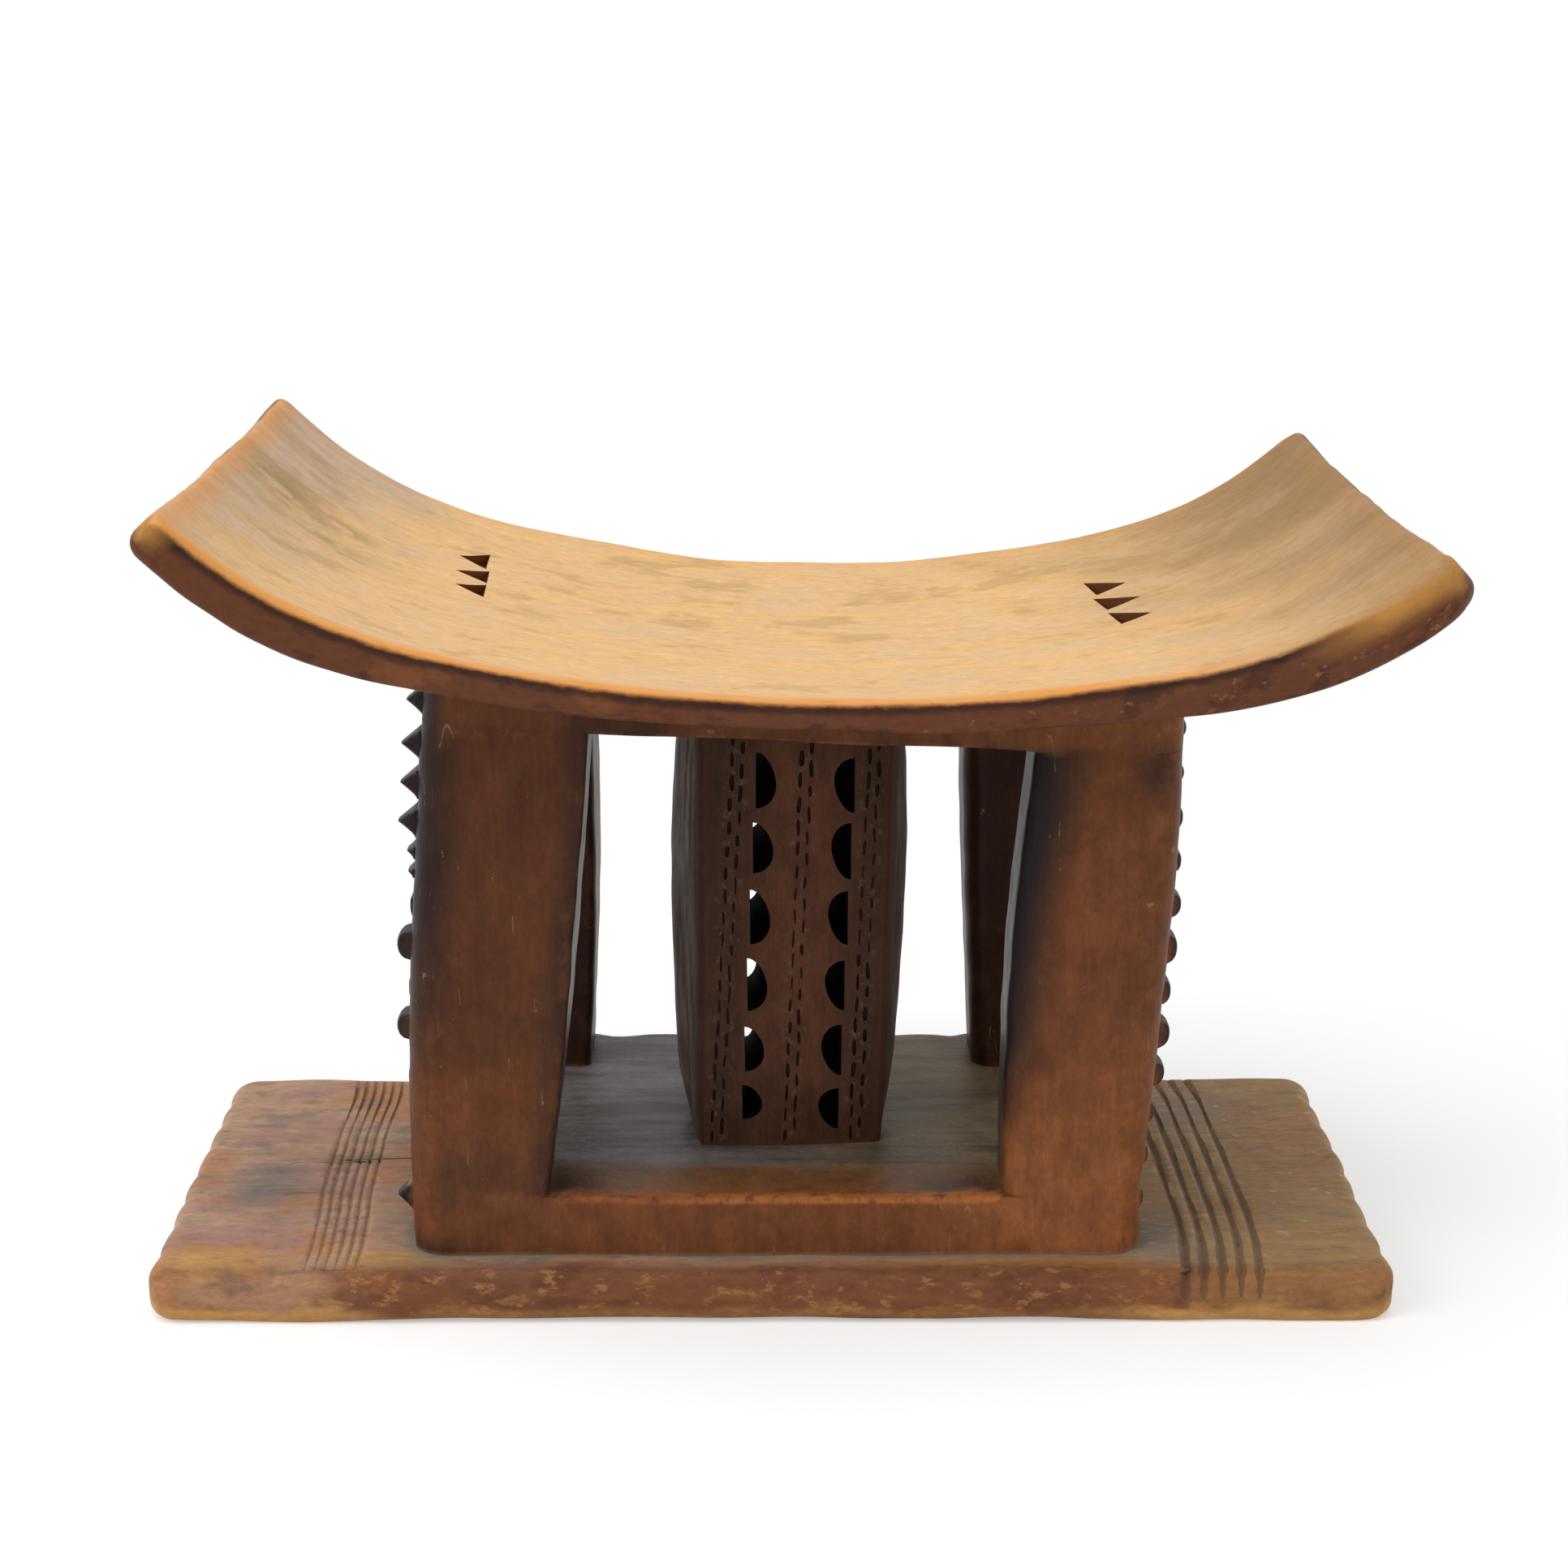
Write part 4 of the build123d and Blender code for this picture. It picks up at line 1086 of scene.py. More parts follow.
class STOOL_OT_base(bpy.types.Operator):
    """Carves the base board, with its worn ends and incised lines"""

    bl_idname = "stool.base"
    bl_label = "Base board"

    def execute(self, context):
        sizes = context.scene.stool_base
        low, high = np.array(base_low), np.array(base_high)
        points, faces = box_shell(
            spaced(low[0], high[0], 3.0 * MM, 9 * MM, 5),
            spaced(low[1], high[1], 1.9 * MM, 9 * MM, 5),
            spaced(low[2], high[2], 2.6 * MM, 5 * MM, 4),
        )
        wear = 1 + 0.12 * uneven(points, 60 * MM, sizes.seed)
        in_front = smooth_step(1 - (points[:, 1] - low[1]) / (14 * MM))
        edge = (sizes.edge_radius + (sizes.front_radius - sizes.edge_radius) * in_front) * wear
        at_end = smooth_step((np.abs(points[:, 0]) - high[0]) / (25 * MM) + 1)
        foot = (sizes.foot_radius + (sizes.foot_end_radius - sizes.foot_radius) * at_end) * wear
        points = rounded(points, low, high, [sizes.corner_radius] * 4, edge, foot)
        x, y, z = points.T
        wave = 0.5 + 0.5 * np.cos(2 * math.pi * (y / sizes.notch_pitch + 0.06 * uneven(points, 40 * MM, 4)))
        from_end = high[0] - np.abs(x)
        notch = sizes.notch_depth * wave**1.5 * smooth_step(1 - from_end / (14 * MM))
        points[:, 0] -= np.sign(x) * notch
        from_front = (y - low[1]) / (40 * MM)
        bow = sizes.foot_bow * smooth_step(1 - (x / (0.8 * high[0])) ** 2) * smooth_step(1 - from_front)
        points[:, 2] += bow * smooth_step(1 - z / (12 * MM))
        points = worked(points)
        points[:, 2] = np.maximum(points[:, 2], 0)
        piece = new_piece("base_board_carved", points, faces)
        material = base_material()
        for end in ("left", "right"):
            tool, rows = self.lines(sizes, end)
            use_tools(piece, "DIFFERENCE", tool, rows, material, mark="line")
        self.store_places(piece.data, high)
        finish_piece(piece, "base_board", material)
        return {"FINISHED"}

    def lines(self, sizes, end):
        """A wavering V-shaped tool as long as the board is deep, and its places."""
        number, pitch = getattr(sizes, end + "_lines"), getattr(sizes, end + "_pitch")
        width, depth = getattr(sizes, end + "_width"), getattr(sizes, end + "_depth")
        front, back = getattr(sizes, end + "_front"), getattr(sizes, end + "_back")
        low, high = base_low.y - 1 * MM, base_high.y + 1 * MM
        if end == "left":
            low = base_low.y + 8 * MM
        points, faces = box_shell(np.array([-1.0, 1.0]), np.linspace(low, high, 140), np.array([-1.0, 1.0]))
        x, y, z = points.T
        part = (y - base_low.y) / (base_high.y - base_low.y)
        waver = hand(points * (0, 1, 0), 40 * MM, 0.8 * MM, sizes.seed)
        middle = front + (back - front) * part + getattr(sizes, end + "_bow") * 4 * part * (1 - part)
        flare = 1 + 0.25 * waver[:, 1] / MM
        points[:, 0] = middle + waver[:, 0] + x * np.where(z > 0, 1.6, 0.2) * width / 2 * flare
        into_edge = np.clip((base_low.y + sizes.front_radius - y) / sizes.front_radius, 0, 0.99)
        drop = sizes.front_radius * (1 - np.sqrt(1 - into_edge**2))
        started = smooth_step((y - low) / (12 * MM)) if end == "left" else 1.0
        cut = (waver[:, 2] * 0.4 - depth) * started
        points[:, 2] = np.where(z > 0, depth * 0.6, cut) - drop
        tool = new_piece("line_tool", points, faces)
        rows = []
        for line in range(number):
            shift = (line - (number - 1) / 2) * pitch
            rows.append(((shift, 0, base_high.z), (0, 0, 0), (1, 1, 1)))
        return tool, rows

    def store_places(self, mesh, high):
        """Keeps where the board is worn, dusty, cracked or seen from the front."""
        points = points_of(mesh)
        x, y, z = points.T
        sizes = bpy.context.scene.stool_support
        from_front = y + high[1]
        store(mesh, "right", smooth_step((x + 0.05) / 0.2))
        waved = z + 1.6 * MM * uneven(points, 26 * MM, 8)
        far_out = smooth_step((np.abs(x) - 0.16) / 0.06) * np.where(x < 0, 0.6, 0.4)
        store(mesh, "front", smooth_step(1.3 - from_front / (15 * MM)) * (1 - far_out))
        ochre = between(from_front, 8 * MM, 26 * MM, 9 * MM) * smooth_step((-x - 0.04) / 0.12)
        store(mesh, "ochre", ochre * (0.6 + 0.4 * uneven(points, 40 * MM, 12)))
        smudge = spot(points, (-232, -22, 21), (18, 22, 30)) + 0.8 * spot(points, (170, -75, 21), (14, 28, 30))
        smudge += 0.6 * spot(points, (205, 70, 21), (26, 22, 30))
        store(mesh, "smudge", np.clip(smudge, 0, 1))
        low = smooth_step((9 * MM - waved) / (4 * MM)) * smooth_step(1 - (from_front - 9 * MM) / (6 * MM))
        from_end = high[0] - np.abs(x)
        ends = smooth_step((8 * MM - from_end) / (5 * MM)) * smooth_step((12 * MM - z) / (6 * MM))
        store(mesh, "low", np.maximum(low, 0.6 * ends))
        store(mesh, "middle", smooth_step((0.2 - np.abs(x + 0.01)) / 0.06))
        gap_x = np.abs(x - sizes.centre) - sizes.length / 2 + sizes.corner_radius
        gap_y = np.abs(y - (SUPPORT_FRONT + SUPPORT_BACK) / 2) - (SUPPORT_BACK - SUPPORT_FRONT) / 2
        gap = np.hypot(np.maximum(gap_x, 0), np.maximum(gap_y + sizes.corner_radius, 0)) - sizes.corner_radius
        reach = (5 + 2 * uneven(points, 20 * MM, 9)) * MM
        dust = smooth_step(1 - gap / reach) + 0.5 * smooth_step(1 - gap / (24 * MM)) * (x < -0.1)
        dust += 0.5 * spot(points, (-192, 10, 21), (40, 5, 30)) + 0.4 * spot(points, (-212, -24, 21), (26, 4, 30))
        store(mesh, "dust", np.clip(dust, 0, 1))
        crack = spot(points, (-196, 12, 21), (50, 7, 30)) + spot(points, (-215, -22, 21), (30, 5, 30))
        store(mesh, "crack", np.clip(crack * 1.4, 0, 1))


class STOOL_OT_plinth(bpy.types.Operator):
    """Carves the plinth that the legs and the column stand on"""

    bl_idname = "stool.plinth"
    bl_label = "Plinth"

    def execute(self, context):
        sizes = context.scene.stool_support
        half = sizes.length / 2
        low = np.array([sizes.centre - half, SUPPORT_FRONT, base_high.z - WOOD_OVERLAP])
        high = np.array([sizes.centre + half, SUPPORT_BACK, PLINTH_TOP])
        points, faces = box_shell(
            spaced(low[0], high[0], 2.6 * MM, 15 * MM, 9),
            spaced(low[1], high[1], 2.6 * MM, 15 * MM, 9),
            spaced(low[2], high[2], 2.4 * MM, 4 * MM, 4),
        )
        open_top = smooth_step(-under_legs(points[:, 0], points[:, 1]) / (8 * MM))
        edge = sizes.plinth_edge * open_top * (1 + 0.35 * uneven(points, 30 * MM, sizes.seed))
        points = worked(rounded(points, low, high, [sizes.corner_radius] * 4, edge))
        piece = new_piece("plinth_carved", points, faces)
        material = support_material()
        for side in (-1, 1):
            for y in tooth_row_depths():
                cut_teeth(piece, side, y, 0, PLINTH_TOP, material)
        store_patina_and_shade(piece.data)
        finish_piece(piece, "plinth", material)
        return {"FINISHED"}


def tooth_row_depths():
    """Y of the front and the back rows of teeth."""
    half = bpy.context.scene.stool_support.leg_depth / 2
    return SUPPORT_FRONT + half, SUPPORT_BACK - half


class STOOL_OT_legs(bpy.types.Operator):
    """Carves the corner legs, each with its row of teeth"""

    bl_idname = "stool.legs"
    bl_label = "Legs"

    def execute(self, context):
        for end in ("front", "back"):
            for hand_side in ("left", "right"):
                self.carve(context.scene.stool_support, end, hand_side)
        return {"FINISHED"}

    def carve(self, sizes, end, hand_side):
        side = -1 if hand_side == "left" else 1
        inner = sizes.left_inner_radius if side < 0 else sizes.right_inner_radius
        low_y = SUPPORT_FRONT if end == "front" else SUPPORT_BACK - sizes.leg_depth
        width = LEG_WIDTHS[end, hand_side][1] * MM
        # In the straight box, X runs outwards from the inner face, and Z from nought at the foot to
        # one at the top.
        low = np.array([0, low_y, 0])
        high = np.array([width, low_y + sizes.leg_depth, 1])
        points, faces = box_shell(
            spaced(low[0], high[0], 2.2 * MM, 15 * MM, 9),
            spaced(low[1], high[1], 2.2 * MM, 15 * MM, 9),
            np.linspace(0, 1, 90),
        )
        outer = [sizes.corner_radius, sizes.window_radius]
        corners = [inner, inner] + (outer if end == "front" else outer[::-1])
        points = rounded(points, low, high, corners)
        part, y, rise = points[:, 0] / width, points[:, 1], points[:, 2]
        x = np.full(len(points), sizes.centre + side * (sizes.length / 2 - width / 2))
        for _ in range(3):
            z = PLINTH_TOP + (slab_bottom(x) - PLINTH_TOP) * rise
            outside = outer_x(side, y, z)
            inside = leg_inner_x(end, hand_side, z)
            x = inside + (outside - inside) * part
        z = np.where(rise == 0, PLINTH_TOP - WOOD_OVERLAP, np.where(rise == 1, z + WOOD_OVERLAP, z))
        points = worked(np.stack([x, y, z], axis=1))
        if side < 0:
            faces = faces[:, ::-1]
        piece = new_piece(f"leg_{end}_{hand_side}_carved", points, faces)
        material = support_material()
        row_y = tooth_row_depths()[0 if end == "front" else 1]
        top = float(slab_bottom(outer_x(side, row_y, PLINTH_TOP + sizes.leg_height)))
        cut_teeth(piece, side, row_y, PLINTH_TOP, top, material)
        store_patina_and_shade(piece.data)
        finish_piece(piece, f"leg_{end}_{hand_side}", material)


class STOOL_OT_under_block(bpy.types.Operator):
    """Carves the block between the legs and the seat"""

    bl_idname = "stool.under_block"
    bl_label = "Block under the seat"

    def execute(self, context):
        sizes = context.scene.stool_support
        low = np.array([-1, SUPPORT_FRONT, 0])
        high = np.array([1, SUPPORT_BACK, 30 * MM])
        half = sizes.length / 2
        points, faces = box_shell(
            spaced(-half, half, 2.6 * MM, 15 * MM, 9),
            spaced(low[1], high[1], 2.6 * MM, 15 * MM, 9),
            spaced(low[2], high[2], 2.4 * MM, 4 * MM, 4),
        )
        low[0], high[0] = -half, half
        low, high = np.array([-half, low[1], low[2]]), np.array([half, high[1], high[2]])
        open_edge = smooth_step(-under_legs(points[:, 0] + sizes.centre, points[:, 1]) / (8 * MM))
        points = rounded(points, low, high, [sizes.corner_radius] * 4, 0.0, sizes.block_edge * open_edge)
        part, y, rise = (points[:, 0] + half) / (2 * half), points[:, 1], points[:, 2] / high[2]
        x = points[:, 0] + sizes.centre
        for _ in range(3):
            under = seat_underside(x, y)
            z = slab_bottom(x) + (under + 1.5 * MM - slab_bottom(x)) * rise
            x = outer_x(-1, y, z) * (1 - part) + outer_x(1, y, z) * part
        points = worked(np.stack([x, y, z], axis=1))
        piece = new_piece("under_block_carved", points, faces)
        material = support_material()
        for side in (-1, 1):
            for y in tooth_row_depths():
                bottom = float(slab_bottom(outer_x(side, y, PLINTH_TOP + sizes.leg_height)))
                cut_teeth(piece, side, y, bottom, 1.0, material)
        store_patina_and_shade(piece.data)
        finish_piece(piece, "under_block", material)
        return {"FINISHED"}


class STOOL_OT_column(bpy.types.Operator):
    """Carves the bellied centre column and its D-shaped channels"""

    bl_idname = "stool.column"
    bl_label = "Centre column"

    def execute(self, context):
        sizes = context.scene.stool_column
        support = context.scene.stool_support
        half = sizes.depth / 2
        low = np.array([-50 * MM, -half, 0])
        high = np.array([50 * MM, half, 1])
        points, faces = box_shell(
            spaced(low[0], high[0], 1.8 * MM, 3 * MM, 3),
            spaced(low[1], high[1], 2.2 * MM, 3 * MM, 3),
            np.linspace(0, 1, 110),
        )
        points = rounded(points, low, high, [sizes.edge_radius] * 4)
        part, y, rise = points[:, 0] / high[0], points[:, 1], points[:, 2]
        height = slab_bottom(sizes.x + part * high[0]) - PLINTH_TOP
        above = height * rise
        rises, widths = np.array(COLUMN_BELLY, float).T * MM
        belly = smooth_through(above, rises, widths) / 2
        face = (sizes.face_foot + (sizes.face_top - sizes.face_foot) * above / support.leg_height) / 2
        x = part * (face + (belly - face) * (1 - (y / half) ** 2)) + sizes.lean * above / support.leg_height
        above = np.where(rise == 0, -WOOD_OVERLAP, np.where(rise == 1, above + WOOD_OVERLAP, above))
        points = np.stack([x, y, above], axis=1)
        material = column_material()
        piece = new_piece("centre_column_carved", worked(self.placed(sizes, points)), faces)
        rows = self.dashes(sizes, support)
        use_tools(piece, "DIFFERENCE", self.dash_tool(), rows, material, 0.25, sizes.seed, "dash")
        rows = self.channels(sizes)
        use_tools(piece, "DIFFERENCE", self.channel_tool(sizes), rows, material, 0.02, sizes.seed, "channel")
        self.store_places(piece.data, sizes)
        finish_piece(piece, "centre_column", material)
        return {"FINISHED"}

    def placed(self, sizes, points):
        """Points of the column, from its own middle at its foot to their place."""
        cosine, sine = math.cos(sizes.turn), math.sin(sizes.turn)
        turned = points.copy()
        turned[:, 0] = sizes.x + points[:, 0] * cosine - points[:, 1] * sine
        turned[:, 1] = sizes.y + points[:, 0] * sine + points[:, 1] * cosine
        turned[:, 2] = PLINTH_TOP + points[:, 2]
        return turned

    def store_places(self, mesh, sizes):
        """Keeps how near each point is to the column's middle and its round sides, and where it is chipped beside
        its lines of dashes.
        """
        points = points_of(mesh)
        cosine, sine = math.cos(sizes.turn), math.sin(sizes.turn)
        x, y = points[:, 0] - sizes.x, points[:, 1] - sizes.y
        x, y = x * cosine + y * sine, y * cosine - x * sine
        half = sizes.depth / 2
        rise = points[:, 2] - PLINTH_TOP
        pattern = x - self.pattern_x(sizes, rise)
        from_middle = np.abs(pattern)
        # Painted reflection on the round sides, strongest high up and on the left.
        on_side = from_middle > sizes.channel_outer + 1.2 * MM
        high_up = 0.55 + 0.45 * smooth_step((rise - 0.09) / 0.08)
        flank = on_side * smooth_step((y + half) / (10 * MM) - 0.1) * high_up * (1 - 0.4 * (x > 0))
        store(mesh, "flank", flank)
        redness = 0.35 + 0.65 * smooth_step(rise / 0.05)
        store(mesh, "middle", smooth_step(1.35 - from_middle / (24 * MM)) * redness)
        splay = sizes.dash_splay * (1 - rise / bpy.context.scene.stool_support.leg_height)
        from_lines = np.minimum(from_middle, np.abs(pattern - sizes.dash_side))
        from_lines = np.minimum(from_lines, np.abs(pattern + sizes.dash_side + splay))
        in_front = smooth_step((2 * MM - half - y) / (2 * MM))
        store(mesh, "chipped", smooth_step((7 * MM - from_lines) / (3 * MM)) * in_front)

    def pattern_x(self, sizes, rise):
        return sizes.pattern_offset + rise * math.tan(sizes.pattern_lean)

    def channel_tool(self, sizes):
        """A D-shaped bar, flat side at X nought, wider where it leaves the column."""
        half = sizes.depth / 2
        ends = np.array([-1.5 * half, -half - 1 * MM, -half + 1.5 * MM, half - 1.5 * MM, half + 1 * MM, 1.5 * half])
        flare = 1 + sizes.channel_flare * np.array([1.6, 1.0, 0, 0, 1.0, 1.6])
        turns = np.linspace(-math.pi / 2, math.pi / 2, 19)
        outline = np.stack([-np.cos(turns) * (1 + 0.2 * np.sin(turns)), np.sin(turns) / 2], axis=1)
        middle = np.array([-0.42, 0])
        rings = []
        for y, wider in zip(ends, flare):
            ring = middle + (outline - middle) * wider
            rings.append(np.stack([ring[:, 0], np.full(len(ring), y), ring[:, 1]], axis=1))
        number = len(turns)
        faces = []
        for ring in range(len(ends) - 1):
            for step in range(number):
                following = (step + 1) % number
                a, b = ring * number + step, ring * number + following
                faces.append((a, b, b + number, a + number))
        first = list(range(number))
        last = [(len(ends) - 1) * number + step for step in first]
        mesh = bpy.data.meshes.new("channel_tool")
        mesh.from_pydata(np.concatenate(rings).tolist(), [], faces + [first[::-1], last])
        tool = bpy.data.objects.new("channel_tool", mesh)
        bpy.context.scene.collection.objects.link(tool)
        return tool

    def channels(self, sizes):
        rows = []
        for side, channels in ((-1, LEFT_CHANNELS), (1, RIGHT_CHANNELS)):
            for mouth, tall, slope in channels:
                fall = math.radians(slope)
                rise = mouth * MM - sizes.depth / 2 * math.tan(fall)
                x = self.pattern_x(sizes, mouth * MM) + side * sizes.channel_outer
                place = self.placed(sizes, np.array([[x, 0, rise]]))[0]
                flip = math.pi if side < 0 else 0.0
                size = (sizes.channel_width, 1, tall * MM)
                rows.append((place, (-side * fall, flip, sizes.turn), size))
        return rows

    def dash_tool(self):
        points, faces = box_shell(np.linspace(-0.5, 0.5, 3), np.array([-1.0, 1.0]), np.linspace(-0.5, 0.5, 5))
        narrow = np.where(points[:, 1] > 0, 0.35, 1.0)
        points[:, 0] *= narrow * (1 - (points[:, 2] * 2) ** 4 * 0.5)
        return new_piece("dash_tool", points, faces)

    def dashes(self, sizes, support):
        """Double lines of dashes up the front, beside and between the channels."""
        random = np.random.default_rng(sizes.seed)
        rows = []
        number = int(support.leg_height / sizes.dash_pitch)
        for line in (-sizes.dash_side, 0.0, sizes.dash_side):
            for pair in (-0.5, 0.5):
                for dash in range(number):
                    rise = (dash + 0.7 + 0.5 * pair) * sizes.dash_pitch + random.uniform(-0.6, 0.6) * MM
                    splay = sizes.dash_splay * (1 - rise / support.leg_height) if line < 0 else 0.0
                    x = self.pattern_x(sizes, rise) + line - splay + pair * sizes.dash_pair
                    x += random.uniform(-0.3, 0.3) * MM
                    place = self.placed(sizes, np.array([[x, -sizes.depth / 2, rise]]))[0]
                    turn = (0, random.uniform(-0.08, 0.08), sizes.turn)
                    rows.append((place, turn, (sizes.dash_width, sizes.dash_depth, sizes.dash_length)))
        return rows


def seat_shape():
    """Angles and lengths of the seat's long section: hub, turn, end and the half length along it."""
    sizes = bpy.context.scene.stool_seat
    hub = sizes.middle_radius - sizes.end_radius
    turn = math.asin(sizes.middle_half / sizes.middle_radius)
    end = math.asin((sizes.chord / 2 - hub * math.sin(turn)) / sizes.end_radius)
    return hub, turn, end, sizes.middle_radius * turn + sizes.end_radius * (end - turn)


def seat_angle(along):
    """Slope of the seat's long section at a distance along it from its middle."""
    sizes = bpy.context.scene.stool_seat
    hub, turn, end, half = seat_shape()
    arc = sizes.middle_radius * turn
    beyond = turn + (np.abs(along) - arc) / sizes.end_radius
    return np.sign(along) * np.where(np.abs(along) > arc, beyond, np.abs(along) / sizes.middle_radius)


def seat_point(slope, depth):
    """X and Z in the seat's own frame where its section has a slope, at a depth below the rim."""
    sizes = bpy.context.scene.stool_seat
    hub, turn, end, half = seat_shape()
    held = np.clip(slope, -turn, turn)
    reach = sizes.end_radius + depth
    x = hub * np.sin(held) + reach * np.sin(slope)
    return x, sizes.middle_radius - hub * np.cos(held) - reach * np.cos(slope)


def seat_thickness(slope):
    hub, turn, end, half = seat_shape()
    bend = (turn + end) / 2
    places = (-end, -bend, -turn, 0, turn, bend, end)
    return smooth_through(slope, places, np.array(SEAT_THICKNESS) * MM)


def seat_half_depth(x):
    sizes = bpy.context.scene.stool_seat
    waist_radius = (sizes.chord**2 / 4 + sizes.waist**2) / (2 * sizes.waist)
    return sizes.depth / 2 - sizes.waist + waist_radius - np.sqrt(waist_radius**2 - x**2)


def seat_turn():
    """Rotation and place of the seat's own frame."""
    sizes = bpy.context.scene.stool_seat
    a, b, c = -sizes.back_fall, sizes.tilt, sizes.turn
    about_x = np.array([[1, 0, 0], [0, math.cos(a), -math.sin(a)], [0, math.sin(a), math.cos(a)]])
    about_y = np.array([[math.cos(b), 0, math.sin(b)], [0, 1, 0], [-math.sin(b), 0, math.cos(b)]])
    about_z = np.array([[math.cos(c), -math.sin(c), 0], [math.sin(c), math.cos(c), 0], [0, 0, 1]])
    return about_x @ about_y @ about_z, np.array([sizes.x, sizes.y, sizes.z])


def seat_underside(x, y):
    """Height of the seat's underside over points of the floor."""
    rotation, place = seat_turn()
    hub, turn, end, half = seat_shape()
    slopes = np.linspace(-end, end, 200)
    under_x, under_z = seat_point(slopes, seat_thickness(slopes))
    z = np.full(len(x), place[2])
    for _ in range(4):
        local = (np.stack([x, y, z], axis=1) - place) @ rotation
        z = z + np.interp(local[:, 0], under_x, under_z) - local[:, 2]
    return z


class STOOL_OT_seat(bpy.types.Operator):
    """Carves the curved seat and its pockets"""

    bl_idname = "stool.seat"
    bl_label = "Seat"

    def execute(self, context):
        sizes = context.scene.stool_seat
        hub, turn, end, half = seat_shape()
        thick = 16 * MM
        low = np.array([-half, -sizes.depth / 2, 0])
        high = np.array([half, sizes.depth / 2, thick])
        points, faces = box_shell(
            spaced(low[0], high[0], 2.8 * MM, 9 * MM, 6),
            spaced(low[1], high[1], 2.8 * MM, 9 * MM, 6),
            spaced(low[2], high[2], 2.0 * MM, 4 * MM, 5),
        )
        corners = [
            sizes.corner_radius,
            sizes.corner_radius,
            sizes.worn_corner_radius,
            sizes.back_corner_radius,
        ]
        edge = sizes.edge_radius * (1 + 0.25 * uneven(points, 40 * MM, sizes.seed))
        along, y, up = points.T
        under = edge + sizes.end_round * smooth_step((np.abs(along) - half) / (30 * MM) + 1)
        worn = smooth_step((along - half) / (60 * MM) + 1) * smooth_step(-y / (100 * MM))
        points = rounded(points, low, high, corners, edge + sizes.bevel * worn, under)
        along, y, up = points.T
        slope = seat_angle(along)
        x, _ = seat_point(slope, 0)
        across = y / (sizes.depth / 2)
        y = across * seat_half_depth(x)
        hollow = sizes.dish * (1 - across**2)
        depth = hollow + (seat_thickness(slope) - hollow) * (1 - up / thick)
        x, z = seat_point(slope, depth)
        near_end = smooth_step(1 - (half - np.abs(along)) / (70 * MM))
        end_hollow = np.where(along < 0, sizes.left_hollow, sizes.right_hollow)
        x = x - np.sign(along) * end_hollow * (1 - across**2) * near_end
        rotation, place = seat_turn()
        points = worked(np.stack([x, y, z], axis=1) @ rotation.T + place)
        piece = new_piece("seat_carved", points, faces)
        material = seat_material()
        for side in (-1, 1):
            use_tools(
                piece,
                "DIFFERENCE",
                self.pocket_tool(sizes, side),
                self.pockets(sizes, side),
                material,
                0.06,
                sizes.seed,
                "pocket",
            )
        self.store_places(piece.data)
        finish_piece(piece, "seat", material)
        return {"FINISHED"}

    def pocket_tool(self, sizes, side):
        """A triangular tool that points outwards along X, narrower below, one unit each way."""
        skew = sizes.left_skew / sizes.left_length if side < 0 else sizes.right_skew / sizes.right_length
        outline = np.array([(-0.5, 0.5), (skew - 0.5, -0.5), (0.5, 0.0)]) * (side, 1)
        outline = outline[::side]
        middle = outline.mean(axis=0)
        levels = ((-1.0, 0.78), (-0.2, 0.96), (0.0, 1.0), (1.6, 1.25))
        points = [(*(middle + (corner - middle) * wide), z) for z, wide in levels for corner in outline]
        faces = [[2, 1, 0], [9, 10, 11]]
        for level in (0, 3, 6):
            for step in range(3):
                following = (step + 1) % 3
                faces.append([level + step, level + following, level + 3 + following, level + 3 + step])
        mesh = bpy.data.meshes.new("pocket_tool")
        mesh.from_pydata(points, [], faces)
        tool = bpy.data.objects.new("pocket_tool", mesh)
        bpy.context.scene.collection.objects.link(tool)
        return tool

    def pockets(self, sizes, side):
        """Places of the row of pockets on one side."""
        rotation, place = seat_turn()
        hub, turn, end, half = seat_shape()
        row = (sizes.left_x, sizes.left_y, sizes.left_pitch, sizes.left_length)
        if side > 0:
            row = (sizes.right_x, sizes.right_y, sizes.right_pitch, sizes.right_length)
        rows = []
        for number in range(sizes.pockets):
            forward = number - (sizes.pockets - 1) / 2
            x, y = row[0] + forward * sizes.pocket_skew, row[1] - forward * row[2]
            slope = side * turn * abs(x) / sizes.middle_half
            across = y / float(seat_half_depth(x))
            _, z = seat_point(slope, sizes.dish * (1 - across**2))
            centre = rotation @ np.array([x, y, float(z)]) + place
            tilt = sizes.tilt - slope
            rows.append((centre, (0, tilt, 0), (row[3], sizes.pocket_base, sizes.pocket_depth)))
        return rows

